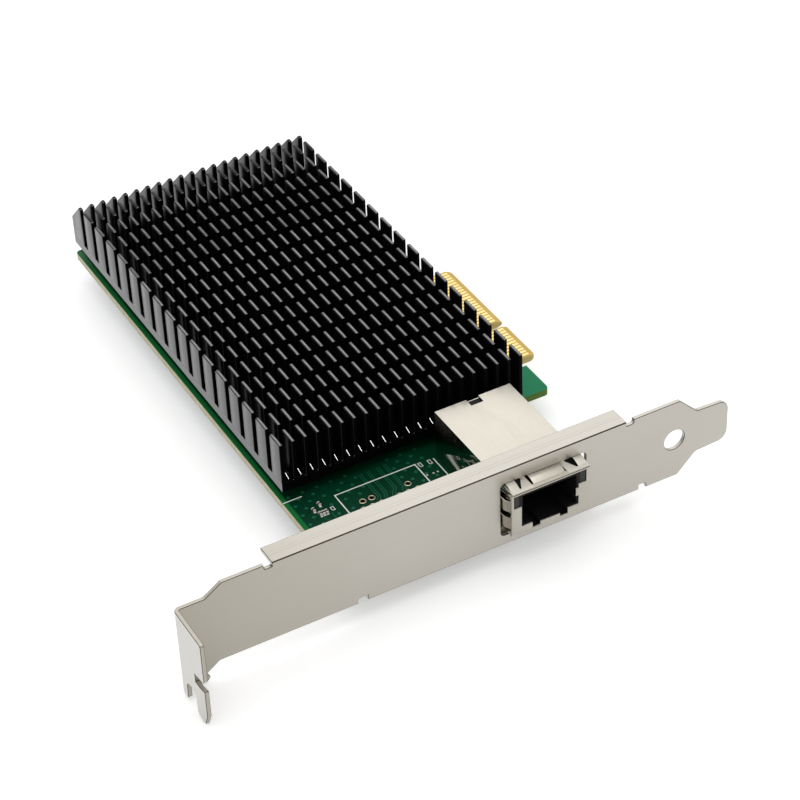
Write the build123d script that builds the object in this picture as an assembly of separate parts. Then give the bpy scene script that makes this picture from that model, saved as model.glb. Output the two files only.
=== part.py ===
from build123d import *
import os
from math import cos, radians

# Network interface card with one socket, a full-height bracket and a large black heatsink.
# Millimetres. X runs along the bracket from the screw flange to the tongue, Y runs back
# from the bracket, Z is up from the component side of the board. The origin is on the
# outer face of the bracket, half way along it, level with the component side.

# Bracket sheet
BRACKET_LENGTH = 120.02
BRACKET_WIDTH = 18.42
SHEET = 0.86
BEND_INSIDE = 0.40
BRACKET_DROP = 3.15
TONGUE_WIDTH = 10.19
TONGUE_RUN = 7.40
TONGUE_SLOPE_RUN = 4.10
TONGUE_CORNER = 2.20
TONGUE_TAPER = 0.35
TONGUE_ROOT_CORNER = 1.20
SLOPE_CORNER = 0.80
SHOULDER_STEP = 2.41
SHOULDER_START = 6.10
SHOULDER_RUN = 3.50
FOOT_DROP = 3.95
FOOT_WIDTH = 5.20
FOOT_SLOPE_TOP = 7.80
FOOT_CORNER = 0.90
FOOT_STEP = (0.50, 0.95)
FOOT_STEP_CORNER = 0.60
FOOT_NECK = (0.30, 1.85)
HOLE_DIAMETER = 4.75
HOLE_FROM_END = 12.55
TOP_LIP_START = 19.80
TOP_LIP_END = 23.87
BOTTOM_LIP_MARGIN = 0.70
BOTTOM_LIP_END = 20.62
LIP_DEPTH = 4.69
LIP_ROUND = 0.25
RELIEF_WIDTH = 1.70
RELIEF_DEPTH = 1.00
BOTTOM_RELIEF_WIDTH = 2.20
BOTTOM_RELIEF_DEPTH = 1.25
RELIEF_CORNER = 0.50

# Screw flange
FLANGE_DEPTH = 10.50
FLANGE_CORNER = 0.60
SLIT_HEIGHT = 2.00
SLIT_DEPTH = 4.00
SLIT_BOTTOM = 0.90
SLIT_MOUTH = 0.70
SCREW_NOTCH_WIDTH = 3.90
SCREW_NOTCH_NEAR = 2.15
SCREW_NOTCH_TOP = -2.45
PRONG_BOTTOM = -7.70
PRONG_FLARE_WIDTH = 2.10
PRONG_FLARE = 0.30
PRONG_INSET = 0.60
PRONG_TAPER = 2.40
PRONG_TIP = 0.90
PRONG_HEEL = 0.60
PRONG_CORNER = 0.80
NOTCH_LIP_CORNER = 0.50

# Board
BOARD_THICKNESS = 1.57
BOARD_LEFT = -23.80
BOARD_FRONT = 1.50
BOARD_END = 130.10
BOARD_CORNER = 1.00
FRONT_RIGHT = 32.30
LEDGE_RIGHT = 39.50
LEDGE_FRONT = 33.15
LEDGE_END = 42.10
TAB_TIP = 43.30
TAB_DEPTH = 8.25
TAB_START = 44.55
KEY_FROM_START = 11.65
KEY_WIDTH = 1.90
TAB_LENGTH = 35.20
TAB_BEVEL_RUN = 1.30
TAB_BEVEL_DEPTH = 0.45
TAB_CORNER = 1.00

# Edge contacts
CONTACT_PITCH = 1.00
CONTACT_WIDTH = 0.70
CONTACT_LENGTH = 5.60
CONTACT_THICKNESS = 0.06

# Heatsink
SINK_LEFT = -23.57
SINK_RIGHT = 31.08
SINK_FRONT = 29.75
SINK_GAP = 2.65
SINK_BASE = 2.15
SINK_HEIGHT = 11.70
FIN_COUNT = 21
FIN_THICKNESS = 0.80
ROW_COUNT = 17
ROW_PITCH = 5.91
ROW_LENGTH = 4.10
LAST_ROW_LENGTH = 5.60
SINK_CHAMFER = 4.70

# Heatsink fixing
STANDOFF_INSET_X = 6.00
STANDOFF_INSET_Y = 7.00
STANDOFF_DIAMETER = 5.50
STANDOFF_SIDES = 6
SINK_SCREW_DIAMETER = 2.50
SINK_SCREW_BITE = 1.70
SINK_HEAD_DIAMETER = 4.60
SINK_HEAD_HEIGHT = 1.30
SINK_HEAD_BEVEL = 0.40
SINK_RECESS_LENGTH = 2.24
SINK_RECESS_WIDTH = 0.64
SINK_RECESS_DEPTH = 0.70
SCREW_CLEARANCE = 0.20

# Socket shell
JACK_CENTRE = 17.45
JACK_WIDTH = 17.20
JACK_FRONT = -2.45
JACK_BACK = 26.50
JACK_HEIGHT = 11.26
JACK_STANDOFF = 0.50
SHELL = 0.25
OPENING_SIDE_GAP = 0.95
OPENING_TOP_GAP = 0.74
OPENING_BOTTOM_GAP = 1.36
OPENING_CORNER = 1.00
FRONT_LIP_REACH = 0.45
FRONT_LIP_RISE = 0.20
FRONT_LIP_OVER_PLUG = 0.35
FRONT_LIP_HOLLOW = 1.00
BACK_NOTCH_WIDTH = 2.80
BACK_NOTCH_DEPTH = 2.10
BACK_NOTCH_SHIFT = -0.05

# Socket front
PLUG_WIDTH = 12.75
PLUG_BOTTOM = 2.05
PLUG_ROOF = 1.11
WINDOW_INSET = 0.50
WINDOW_HEIGHT = 3.15
WINDOW_CLEARANCE = 0.05
WINDOW_DEPTH = 3.00
PLUG_WALL_GAP = 0.45
KEY_SLOT_OUTER = 3.95
KEY_SLOT_INNER = 2.20
KEY_SLOT_BOTTOM = 0.80
KEY_TONGUE_TOP = 1.55
CONTACT_TAB_REACH = 0.60
CONTACT_TAB_BOTTOM = 4.30
CONTACT_TAB_TOP = 6.05
CAVITY_DEPTH = 14.00
LATCH_WIDTH = 6.30
LATCH_DEPTH = 9.00
CAVITY_INSET = 0.35
CAVITY_FLOOR = 0.30
CAVITY_ROOF = 0.75
KEY_SLOT_TOP = 3.00
CONTACT_TAB_DEPTH = 1.20
MAGNETICS_GAP = 2.50
MAGNETICS_WALL = 0.80
MAGNETICS_BOTTOM = 1.60
MAGNETICS_TOP_WALL = 1.00

# Spring fingers of the shell
FINGER_SLOT = 0.35
FINGER_LENGTH = 7.50
FINGER_RISE_AT = 0.40
CENTRE_FINGER_WIDTH = 7.00
BAR_WIDTH = 2.30
BAR_TAPER = 1.20
CORNER_FINGER_WIDTH = 1.90
SIDE_FINGER_HEIGHT = 2.50
SIDE_FINGER_PITCH = 4.10
SIDE_FINGER_BOTTOM = 2.20
SIDE_FINGER_COUNT = 2
FINGER_SEAT_GAP = 0.15
FINGER_BOW_RUN = 1.20
FINGER_BOW_SHARE = 0.85
FINGER_BOW_ROUND = 0.80
FINGER_CREST_ROUND = 1.00

# Socket contacts and pins
SIGNAL_COUNT = 8
SIGNAL_PITCH = 1.016
WIRE = 0.35
WIRE_DROP = 3.20
WIRE_FRONT = 1.80
WIRE_BEND = 5.00
WIRE_BEND_INSIDE = 4.60
WIRE_TIP = 0.80
CHANNEL_MARGIN = 0.30
CHANNEL_FRONT = 1.50
CHANNEL_DROP = 1.20
CHANNEL_RISE = 0.20
PIN_WIDTH = 0.70
SOLDER_SPREAD = 0.45
SOLDER_HEIGHT = 0.70
SOLDER_SLOPE = 0.40
PIN_HOLE_CLEARANCE = 0.30
PIN_PITCH = 2.03
PIN_ROWS = (20.20, 17.90)
PIN_TAIL = 1.10
PEG_WIDTH = 1.30
PEG_TAIL = 0.90
PEG_BACK = 12.00
RING_WIDTH = 0.36
RING_HEIGHT = 0.08

# Second socket position, not fitted
SPARE_CENTRE = -5.00
SPARE_FRONT_ROW = (-6.00, -4.00, -2.00, 2.00, 4.00, 6.10)
SPARE_BACK_ROW = (-5.10, -3.10, 5.00)
SPARE_ROWS_Y = (19.90, 22.15)
SPARE_HOLE = 1.00

# Controller under the heatsink
CHIP_X = 3.75
CHIP_Y = 72.00
CHIP_SIDE = 19.00
CHIP_BASE = 0.90
LID_SIDE = 14.50
LID_HEIGHT = 1.15
LID_CORNER = 1.00
PAD_SIDE = 16.00

# Bracket ears and screws
EAR_WIDTH = 7.20
EAR_REACH = 11.20
EAR_JOG = 1.00
EAR_ROOT = 0.50
EAR_BEND = 0.30
EAR_INSET = 7.00
SCREW_JACK_GAP = 0.15
EAR_HOLE_Y = 8.00
EAR_CORNER = 1.20
SCREW_DIAMETER = 2.90
SCREW_HEAD_DIAMETER = 5.40
SCREW_HEAD_HEIGHT = 1.60
SCREW_HEAD_BEVEL = 0.50
RECESS_WIDTH = 0.80
RECESS_LENGTH = 2.80
RECESS_DEPTH = 0.90

# Sides of the small round repeats, and of the screw heads
SMALL_SIDES = 6
HEAD_SIDES = 12

# Radius at the round end of a slot, as a share of its width
ROUND_END = 0.46

# Small parts on the board: body sizes are length, width, height
INDUCTOR = (7.20, 6.60, 2.40)
REGULATOR = (5.00, 5.00, 0.90)
POLYMER = (7.30, 4.30, 1.90)
CRYSTAL = (3.20, 5.00, 1.10)
FLASH_BODY = (3.90, 4.90, 1.45)
CHIP_CAP = (0.80, 1.60, 0.80)
SMALL_CAP = (0.50, 1.00, 0.50)
CHIP_RESISTOR = (0.50, 1.00, 0.35)

# Places of the small parts
INDUCTOR_ROW = (-14.00, 111.00)
INDUCTOR_PITCH = 9.40
INDUCTOR_COUNT = 4
INDUCTOR_BEVEL = 1.00
REGULATOR_ROW = (-13.00, 99.00)
REGULATOR_PITCH = 11.00
REGULATOR_COUNT = 4
POLYMER_PLACES = ((-14.00, 87.00), (-14.00, 80.00), (22.00, 88.00), (22.00, 81.00))
CRYSTAL_PLACE = (18.00, 62.00)
CRYSTAL_CORNER = 0.50
FLASH_PLACE = (-14.00, 58.00)
FLASH_LIFT = 0.10
LEG_COUNT = 4
LEG_PITCH = 1.27
LEG_REACH = 1.05
LEG_HEIGHT = 0.90
LEG_WIDTH = 0.40
LEG_SHEET = 0.20
FRONT_CAPS = ((-19.00, 22.90), (-18.32, 22.90), (-17.64, 22.90), (-17.90, 25.60), (-19.60, 24.60))
CHIP_CAP_GAP = 2.20
CHIP_CAP_PITCH = 2.60
CHIP_CAP_COUNT = 6
TAB_CAP_INSET = 2.20
TAB_CAP_START = 16.00
TAB_CAP_PITCH = 2.00
TAB_CAP_COUNT = 8
RESISTOR_ROW = (-8.00, 47.50)
RESISTOR_PITCH = 1.70
RESISTOR_COUNT = 10
RESISTOR_COLUMN = (-20.60, 44.00)
COLUMN_PITCH = 2.20
COLUMN_COUNT = 4
SOLDER_CAP_GRID = (4, 3)
SOLDER_CAP_PITCHES = (2.60, 3.20)

# Derived places
X_START = -BRACKET_LENGTH / 2
X_END = BRACKET_LENGTH / 2
Z_BOTTOM = -BRACKET_DROP
Z_TOP = BRACKET_WIDTH - BRACKET_DROP
Z_MIDDLE = (Z_TOP + Z_BOTTOM) / 2
BEND_OUTSIDE = BEND_INSIDE + SHEET
Z_UNDER = -BOARD_THICKNESS
TAB_SHOULDER = TAB_TIP - TAB_DEPTH
TAB_END = TAB_START + TAB_LENGTH
KEY_START = TAB_START + KEY_FROM_START
SINK_END = SINK_FRONT + (ROW_COUNT - 1) * ROW_PITCH + LAST_ROW_LENGTH
SINK_TOP = SINK_GAP + SINK_HEIGHT
JACK_LEFT = JACK_CENTRE - JACK_WIDTH / 2
JACK_RIGHT = JACK_CENTRE + JACK_WIDTH / 2
PLUG_TOP = JACK_HEIGHT - PLUG_ROOF
WINDOW_BOTTOM = PLUG_TOP - WINDOW_HEIGHT
OPENING_TOP = JACK_HEIGHT + OPENING_TOP_GAP
OPENING_BOTTOM = JACK_STANDOFF - OPENING_BOTTOM_GAP
STANDOFF_PLACES = [
    (x, y)
    for x in (SINK_LEFT + STANDOFF_INSET_X, SINK_RIGHT - STANDOFF_INSET_X)
    for y in (SINK_FRONT + STANDOFF_INSET_Y, SINK_END - STANDOFF_INSET_Y)
]
EAR_LEFT = BOARD_LEFT + EAR_INSET
EAR_RIGHT = JACK_RIGHT + SCREW_HEAD_DIAMETER / 2 + SCREW_JACK_GAP
EAR_PLACES = [(EAR_LEFT, EAR_HOLE_Y), (EAR_RIGHT, EAR_HOLE_Y)]
LIP_START = EAR_LEFT - EAR_WIDTH / 2 - BOTTOM_LIP_MARGIN
PEG_PLACES = [(JACK_LEFT + SHELL / 2, PEG_BACK), (JACK_RIGHT - SHELL / 2, PEG_BACK)]
SPARE_PLACES = [(SPARE_CENTRE + x, SPARE_ROWS_Y[0]) for x in SPARE_FRONT_ROW]
SPARE_PLACES += [(SPARE_CENTRE + x, SPARE_ROWS_Y[1]) for x in SPARE_BACK_ROW]


def pin_places():
    """Two staggered rows of five pins under the socket."""
    places = []
    for row, y in enumerate(PIN_ROWS):
        for k in range(5):
            places.append((JACK_CENTRE + (k - 2 + 0.5 * row - 0.25) * PIN_PITCH, y))
    return places


def block(x0, x1, y0, y1, z0, z1):
    """Box between two corners."""
    centre = ((x0 + x1) / 2, (y0 + y1) / 2, (z0 + z1) / 2)
    return Pos(*centre) * Box(x1 - x0, y1 - y0, z1 - z0)


def upright(size, x, y, z=0.0):
    """Box of a given size that stands on height z."""
    length, width, height = size
    return Pos(x, y, z + height / 2) * Box(length, width, height)


def rod(x, y, z0, z1, diameter):
    """Upright cylinder between two heights."""
    return Pos(x, y, (z0 + z1) / 2) * Cylinder(diameter / 2, z1 - z0)


def prism(x, y, z0, z1, diameter, sides=SMALL_SIDES):
    """Upright many-sided bar between two heights, for the small round repeats."""
    face = Pos(x, y, z0) * RegularPolygon(diameter / 2, sides)
    return extrude(face, amount=z1 - z0)


def face_of(corners):
    """Closed face from (u, v, corner radius)."""
    points = [(u, v) for u, v, _ in corners]
    radii = [radius for _, _, radius in corners]
    return make_face(FilletPolyline(*points, radius=radii, close=True))


def slab_xz(corners, y0, thickness):
    """Face drawn in X and Z, given its thickness from y0 backwards."""
    plane = Plane(origin=(0, y0, 0), x_dir=(1, 0, 0), z_dir=(0, -1, 0))
    return extrude(plane * face_of(corners), amount=-thickness)


def slab_yz(corners, x0, thickness):
    """Face drawn in Y and Z, given its thickness from x0 towards +X."""
    plane = Plane(origin=(x0, 0, 0), x_dir=(0, 1, 0), z_dir=(1, 0, 0))
    return extrude(plane * face_of(corners), amount=thickness)


def slab_xy(corners, z0, thickness):
    """Face drawn in X and Y, given its thickness from z0 upwards."""
    return extrude(Pos(0, 0, z0) * face_of(corners), amount=thickness)


# Circuit board

def board_outline():
    inner = TAB_SHOULDER
    return [
        (BOARD_LEFT, BOARD_FRONT, BOARD_CORNER),
        (FRONT_RIGHT, BOARD_FRONT, BOARD_CORNER),
        (FRONT_RIGHT, LEDGE_FRONT, BOARD_CORNER),
        (LEDGE_RIGHT, LEDGE_FRONT, BOARD_CORNER),
        (LEDGE_RIGHT, LEDGE_END, 0),
        (inner, LEDGE_END, 0),
        (inner, TAB_START, 0),
        (TAB_TIP, TAB_START, TAB_CORNER),
        (TAB_TIP, KEY_START, 0),
        (inner, KEY_START, KEY_WIDTH * ROUND_END),
        (inner, KEY_START + KEY_WIDTH, KEY_WIDTH * ROUND_END),
        (TAB_TIP, KEY_START + KEY_WIDTH, 0),
        (TAB_TIP, TAB_END, TAB_CORNER),
        (inner, TAB_END, 0),
        (inner, BOARD_END, BOARD_CORNER),
        (BOARD_LEFT, BOARD_END, BOARD_CORNER),
    ]


def tab_bevel():
    """Wedges that thin the insertion edge from both sides."""
    start = TAB_TIP - TAB_BEVEL_RUN
    outside = TAB_TIP + 1.0
    slope = TAB_BEVEL_DEPTH / TAB_BEVEL_RUN
    reach = (outside - start) * slope
    plane = Plane(origin=(0, TAB_START, 0), x_dir=(1, 0, 0), z_dir=(0, -1, 0))
    wedges = []
    for surface, inward in ((0.0, -1), (Z_UNDER, 1)):
        points = [(start, surface), (outside, surface + inward * reach), (outside, surface)]
        face = make_face(Polyline(*points, close=True))
        wedges.append(extrude(plane * face, amount=-TAB_LENGTH))
    return wedges


def board_holes():
    holes = [(x, y, SCREW_DIAMETER + 2 * SCREW_CLEARANCE) for x, y in EAR_PLACES]
    holes += [(x, y, SINK_SCREW_DIAMETER + 2 * SCREW_CLEARANCE) for x, y in STANDOFF_PLACES]
    holes += [(x, y, PIN_WIDTH + PIN_HOLE_CLEARANCE) for x, y in pin_places()]
    holes += [(x, y, PEG_WIDTH + PIN_HOLE_CLEARANCE) for x, y in PEG_PLACES]
    holes += [(x, y, SPARE_HOLE) for x, y in SPARE_PLACES]
    return [prism(x, y, Z_UNDER - 1, 1, diameter) for x, y, diameter in holes]


def make_circuit_board():
    board = slab_xy(board_outline(), Z_UNDER, BOARD_THICKNESS)
    return board - (tab_bevel() + board_holes())


def contact_offsets():
    """Distances of the contact centres from the start of the tab."""
    first = int(KEY_FROM_START / CONTACT_PITCH)
    second_run = TAB_LENGTH - KEY_FROM_START - KEY_WIDTH
    second = int(second_run / CONTACT_PITCH)
    offsets = []
    for start, run, count in (
        (0.0, KEY_FROM_START, first),
        (KEY_FROM_START + KEY_WIDTH, second_run, second),
    ):
        margin = (run - (count - 1) * CONTACT_PITCH) / 2
        offsets += [start + margin + k * CONTACT_PITCH for k in range(count)]
    return offsets


def make_edge_contacts(z0):
    tip = TAB_TIP - TAB_BEVEL_RUN
    contacts = []
    for offset in contact_offsets():
        y = TAB_START + offset
        y0 = y - CONTACT_WIDTH / 2
        y1 = y + CONTACT_WIDTH / 2
        contacts.append(block(tip - CONTACT_LENGTH, tip, y0, y1, z0, z0 + CONTACT_THICKNESS))
    return Compound(children=contacts)


def make_spare_port_rings():
    """Plated barrels with a rim on each side of the board."""
    rings = []
    for x, y in SPARE_PLACES:
        rim = SPARE_HOLE + 2 * RING_WIDTH
        barrel = prism(x, y, Z_UNDER, 0, SPARE_HOLE)
        top = prism(x, y, 0, RING_HEIGHT, rim)
        bottom = prism(x, y, Z_UNDER - RING_HEIGHT, Z_UNDER, rim)
        bore = prism(x, y, Z_UNDER - 1, 1, SPARE_HOLE - 2 * RING_HEIGHT)
        rings.append(barrel + top + bottom - bore)
    return Compound(children=rings)


# Bracket

def bracket_face_outline():
    """Face of the bracket, with the lip edges drawn in by one bend radius."""
    lip_top = Z_TOP - BEND_OUTSIDE
    lip_bottom = Z_BOTTOM + BEND_OUTSIDE
    x = X_START
    bend = x + BEND_OUTSIDE
    tongue_top = Z_MIDDLE + TONGUE_WIDTH / 2
    tongue_bottom = Z_MIDDLE - TONGUE_WIDTH / 2
    tongue_start = X_END - TONGUE_RUN
    foot_x = x + FOOT_WIDTH
    foot_z = Z_BOTTOM - FOOT_DROP
    notch_start = LIP_START - BOTTOM_RELIEF_WIDTH
    notch_z = Z_BOTTOM + BOTTOM_RELIEF_DEPTH
    bottom = [
        (bend, foot_z, 0),
        (foot_x, foot_z, FOOT_CORNER),
        (foot_x + FOOT_STEP[0], foot_z + FOOT_STEP[1], FOOT_STEP_CORNER),
        (foot_x - FOOT_NECK[0], foot_z + FOOT_NECK[1], 0),
        (x + FOOT_SLOPE_TOP, Z_BOTTOM, 0),
        (notch_start, Z_BOTTOM, 0),
        (notch_start, notch_z, RELIEF_CORNER),
        (LIP_START, notch_z, 0),
        (LIP_START, lip_bottom, 0),
        (X_END - BOTTOM_LIP_END, lip_bottom, 0),
        (X_END - BOTTOM_LIP_END, notch_z, 0),
        (X_END - BOTTOM_LIP_END + RELIEF_WIDTH, notch_z, RELIEF_CORNER),
        (X_END - BOTTOM_LIP_END + RELIEF_WIDTH, Z_BOTTOM, 0),
    ]
    tongue = [
        (tongue_start - TONGUE_SLOPE_RUN, Z_BOTTOM, SLOPE_CORNER),
        (tongue_start, tongue_bottom, TONGUE_ROOT_CORNER),
        (X_END, tongue_bottom + TONGUE_TAPER, TONGUE_CORNER),
        (X_END, tongue_top - TONGUE_TAPER, TONGUE_CORNER),
        (tongue_start, tongue_top, TONGUE_ROOT_CORNER),
        (tongue_start - TONGUE_SLOPE_RUN, Z_TOP, SLOPE_CORNER),
    ]
    top = [
        (X_END - TOP_LIP_END + RELIEF_WIDTH, Z_TOP, 0),
        (X_END - TOP_LIP_END + RELIEF_WIDTH, Z_TOP - RELIEF_DEPTH, RELIEF_CORNER),
        (X_END - TOP_LIP_END, Z_TOP - RELIEF_DEPTH, 0),
        (X_END - TOP_LIP_END, lip_top, 0),
        (x + TOP_LIP_START, lip_top, 0),
        (x + TOP_LIP_START, Z_TOP - RELIEF_DEPTH, 0),
        (x + TOP_LIP_START - RELIEF_WIDTH, Z_TOP - RELIEF_DEPTH, RELIEF_CORNER),
        (x + TOP_LIP_START - RELIEF_WIDTH, Z_TOP, 0),
        (x + SHOULDER_START + SHOULDER_RUN, Z_TOP, SLOPE_CORNER),
        (x + SHOULDER_START, Z_TOP - SHOULDER_STEP, SLOPE_CORNER),
        (bend, Z_TOP - SHOULDER_STEP, 0),
    ]
    return bottom + tongue + top


def folded_lip(x0, x1, z_edge, inward, depth):
    """Edge of the sheet folded backwards; inward is -1 under a top edge, 1 over a bottom edge."""
    def height(distance):
        return z_edge + inward * distance

    section = [
        (0, height(BEND_OUTSIDE), 0),
        (0, height(0), LIP_ROUND),
        (depth, height(0), 0),
        (depth, height(SHEET), 0),
        (SHEET, height(SHEET), 0),
        (SHEET, height(BEND_OUTSIDE), 0),
    ]
    return slab_yz(section, x0, x1 - x0)


def board_ear(x):
    """Jogged tab behind the bottom lip that reaches the solder side of the board."""
    low = Z_BOTTOM
    high = Z_UNDER - SHEET
    root = LIP_DEPTH - EAR_ROOT
    section = [
        (root, low, 0),
        (LIP_DEPTH, low, EAR_BEND),
        (LIP_DEPTH + EAR_JOG, high, EAR_BEND),
        (EAR_REACH, high, 0),
        (EAR_REACH, high + SHEET, 0),
        (LIP_DEPTH + EAR_JOG, high + SHEET, EAR_BEND),
        (LIP_DEPTH, low + SHEET, EAR_BEND),
        (root, low + SHEET, 0),
    ]
    ear = slab_yz(section, x - EAR_WIDTH / 2, EAR_WIDTH)
    ear = fillet(ear.edges().filter_by(Axis.Z).group_by(Axis.Y)[-1], EAR_CORNER)
    return ear - rod(x, EAR_HOLE_Y, low - 1, high + SHEET + 1, SCREW_DIAMETER)


def flange_bend(z0, z1):
    """Vertical fold from the face to the screw flange."""
    cx = X_START + BEND_OUTSIDE
    cy = SHEET - BEND_OUTSIDE
    outer = BEND_OUTSIDE * cos(radians(45))
    inner = BEND_INSIDE * cos(radians(45))
    lines = [
        ThreePointArc((cx, SHEET), (cx - outer, cy + outer), (X_START, cy)),
        Line((X_START, cy), (X_START + SHEET, cy)),
        ThreePointArc((X_START + SHEET, cy), (cx - inner, cy + inner), (cx, 0)),
        Line((cx, 0), (cx, SHEET)),
    ]
    return extrude(Pos(0, 0, z0) * make_face(lines), amount=z1 - z0)


def screw_flange():
    """Flange with a slit from its outer edge and a notch for the case screw."""
    top = Z_TOP - SHOULDER_STEP
    foot = Z_BOTTOM - FOOT_DROP
    near = SHEET - BEND_OUTSIDE
    outer = -FLANGE_DEPTH
    slit_end = outer + SLIT_DEPTH
    slit_top = SLIT_BOTTOM + SLIT_HEIGHT
    flare_start = outer + PRONG_FLARE_WIDTH
    prong_outer = outer + PRONG_INSET
    notch_far = -SCREW_NOTCH_NEAR - SCREW_NOTCH_WIDTH
    flat = slab_yz(
        [
            (near, top, 0),
            (outer, top, FLANGE_CORNER),
            (outer, slit_top + SLIT_MOUTH, FLANGE_CORNER),
            (slit_end, slit_top, 0),
            (slit_end, SLIT_BOTTOM, 0),
            (flare_start, SLIT_BOTTOM, 0),
            (flare_start, PRONG_BOTTOM, 0),
            (notch_far, PRONG_BOTTOM + PRONG_HEEL, 0),
            (notch_far, SCREW_NOTCH_TOP, SCREW_NOTCH_WIDTH * ROUND_END),
            (-SCREW_NOTCH_NEAR, SCREW_NOTCH_TOP, SCREW_NOTCH_WIDTH * ROUND_END),
            (-SCREW_NOTCH_NEAR, foot, NOTCH_LIP_CORNER),
            (near, foot, 0),
        ],
        X_START,
        SHEET,
    )
    x_in = X_START + SHEET
    strip = [
        (X_START, flare_start, 0),
        (X_START + PRONG_FLARE, outer, 0),
        (x_in + PRONG_FLARE, outer, 0),
        (x_in, flare_start, 0),
    ]
    flare = slab_xy(strip, PRONG_BOTTOM, SLIT_BOTTOM - PRONG_BOTTOM)
    keep = slab_yz(
        [
            (flare_start, SLIT_BOTTOM, 0),
            (prong_outer, SLIT_BOTTOM, 0),
            (prong_outer, PRONG_BOTTOM + PRONG_TAPER, PRONG_CORNER),
            (prong_outer + PRONG_TIP, PRONG_BOTTOM, 0),
            (flare_start, PRONG_BOTTOM, 0),
        ],
        X_START,
        SHEET + PRONG_FLARE,
    )
    return flat + (flare & keep)


def jack_opening():
    left = JACK_LEFT - OPENING_SIDE_GAP
    right = JACK_RIGHT + OPENING_SIDE_GAP
    corners = [
        (left, OPENING_BOTTOM, OPENING_CORNER),
        (right, OPENING_BOTTOM, OPENING_CORNER),
        (right, OPENING_TOP, OPENING_CORNER),
        (left, OPENING_TOP, OPENING_CORNER),
    ]
    return slab_xz(corners, -1.0, SHEET + 2.0)


def make_bracket():
    face = slab_xz(bracket_face_outline(), 0.0, SHEET)
    x = X_START
    hole_x = X_END - HOLE_FROM_END
    hole = Pos(hole_x, SHEET / 2, Z_MIDDLE) * Rot(90, 0, 0) * Cylinder(HOLE_DIAMETER / 2, 3)
    foot = Z_BOTTOM - FOOT_DROP
    folds = [
        folded_lip(x + TOP_LIP_START, X_END - TOP_LIP_END, Z_TOP, -1, LIP_DEPTH),
        folded_lip(LIP_START, X_END - BOTTOM_LIP_END, Z_BOTTOM, 1, LIP_DEPTH),
        flange_bend(foot, Z_TOP - SHOULDER_STEP),
        screw_flange(),
        board_ear(EAR_LEFT),
        board_ear(EAR_RIGHT),
    ]
    return face.fuse(*folds).clean() - [jack_opening(), hole]


def cross_recess(x, y, z_face, length, width, depth):
    """Cross cut into the face of a screw head that lies at z_face."""
    long_way = upright((length, width, 2 * depth), x, y, z_face - depth)
    short_way = upright((width, length, 2 * depth), x, y, z_face - depth)
    return [long_way, short_way]


def make_bracket_screws():
    screws = []
    for x, y in EAR_PLACES:
        head = prism(x, y, 0, SCREW_HEAD_HEIGHT, SCREW_HEAD_DIAMETER, HEAD_SIDES)
        head = chamfer(head.edges().group_by(Axis.Z)[-1], SCREW_HEAD_BEVEL)
        shank = prism(x, y, Z_UNDER - SHEET, 0, SCREW_DIAMETER)
        sizes = (RECESS_LENGTH, RECESS_WIDTH, RECESS_DEPTH)
        screws.append(head + shank - cross_recess(x, y, SCREW_HEAD_HEIGHT, *sizes))
    return Compound(children=screws)


# Heatsink

def fin_starts():
    pitch = (SINK_RIGHT - SINK_LEFT - FIN_THICKNESS) / (FIN_COUNT - 1)
    return [SINK_LEFT + k * pitch for k in range(FIN_COUNT)]


def sink_profile():
    """Comb section of the extrusion in X and Z."""
    floor = SINK_GAP + SINK_BASE
    points = [(SINK_LEFT, SINK_GAP, 0)]
    comb = []
    for x in fin_starts():
        comb += [(x, floor, 0), (x, SINK_TOP, 0), (x + FIN_THICKNESS, SINK_TOP, 0)]
        comb.append((x + FIN_THICKNESS, floor, 0))
    return points + comb[1:-1] + [(SINK_RIGHT, SINK_GAP, 0)]


def row_slits():
    """Saw cuts across the fins, down to the base."""
    floor = SINK_GAP + SINK_BASE
    cuts = []
    for k in range(ROW_COUNT - 1):
        y0 = SINK_FRONT + k * ROW_PITCH + ROW_LENGTH
        y1 = SINK_FRONT + (k + 1) * ROW_PITCH
        cuts.append(block(SINK_LEFT - 1, SINK_RIGHT + 1, y0, y1, floor, SINK_TOP + 1))
    return cuts


def sink_end_bevel():
    """Slope that takes the top far edge off the last row."""
    low = SINK_TOP - SINK_CHAMFER
    corners = [
        (SINK_END - SINK_CHAMFER, SINK_TOP, 0),
        (SINK_END + 1, low - 1, 0),
        (SINK_END + 1, SINK_TOP + 1, 0),
        (SINK_END - SINK_CHAMFER, SINK_TOP + 1, 0),
    ]
    return slab_yz(corners, SINK_LEFT - 1, SINK_RIGHT - SINK_LEFT + 2)


def make_heatsink():
    solid = slab_xz(sink_profile(), SINK_FRONT, SINK_END - SINK_FRONT)
    threads = [
        prism(x, y, SINK_GAP - 1, SINK_GAP + SINK_SCREW_BITE, SINK_SCREW_DIAMETER)
        for x, y in STANDOFF_PLACES
    ]
    return solid - (row_slits() + [sink_end_bevel()] + threads)


def make_heatsink_standoffs():
    posts = []
    for x, y in STANDOFF_PLACES:
        bore = prism(x, y, -1, SINK_GAP + 1, SINK_SCREW_DIAMETER + 2 * SCREW_CLEARANCE)
        posts.append(prism(x, y, 0, SINK_GAP, STANDOFF_DIAMETER, STANDOFF_SIDES) - bore)
    return Compound(children=posts)


def make_heatsink_screws():
    """Screws that enter from the solder side."""
    screws = []
    for x, y in STANDOFF_PLACES:
        low = Z_UNDER - SINK_HEAD_HEIGHT
        head = prism(x, y, low, Z_UNDER, SINK_HEAD_DIAMETER, HEAD_SIDES)
        head = chamfer(head.edges().group_by(Axis.Z)[0], SINK_HEAD_BEVEL)
        shank = prism(x, y, Z_UNDER, SINK_GAP + SINK_SCREW_BITE, SINK_SCREW_DIAMETER)
        sizes = (SINK_RECESS_LENGTH, SINK_RECESS_WIDTH, SINK_RECESS_DEPTH)
        screws.append(head + shank - cross_recess(x, y, low, *sizes))
    return Compound(children=screws)


# Socket

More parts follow.
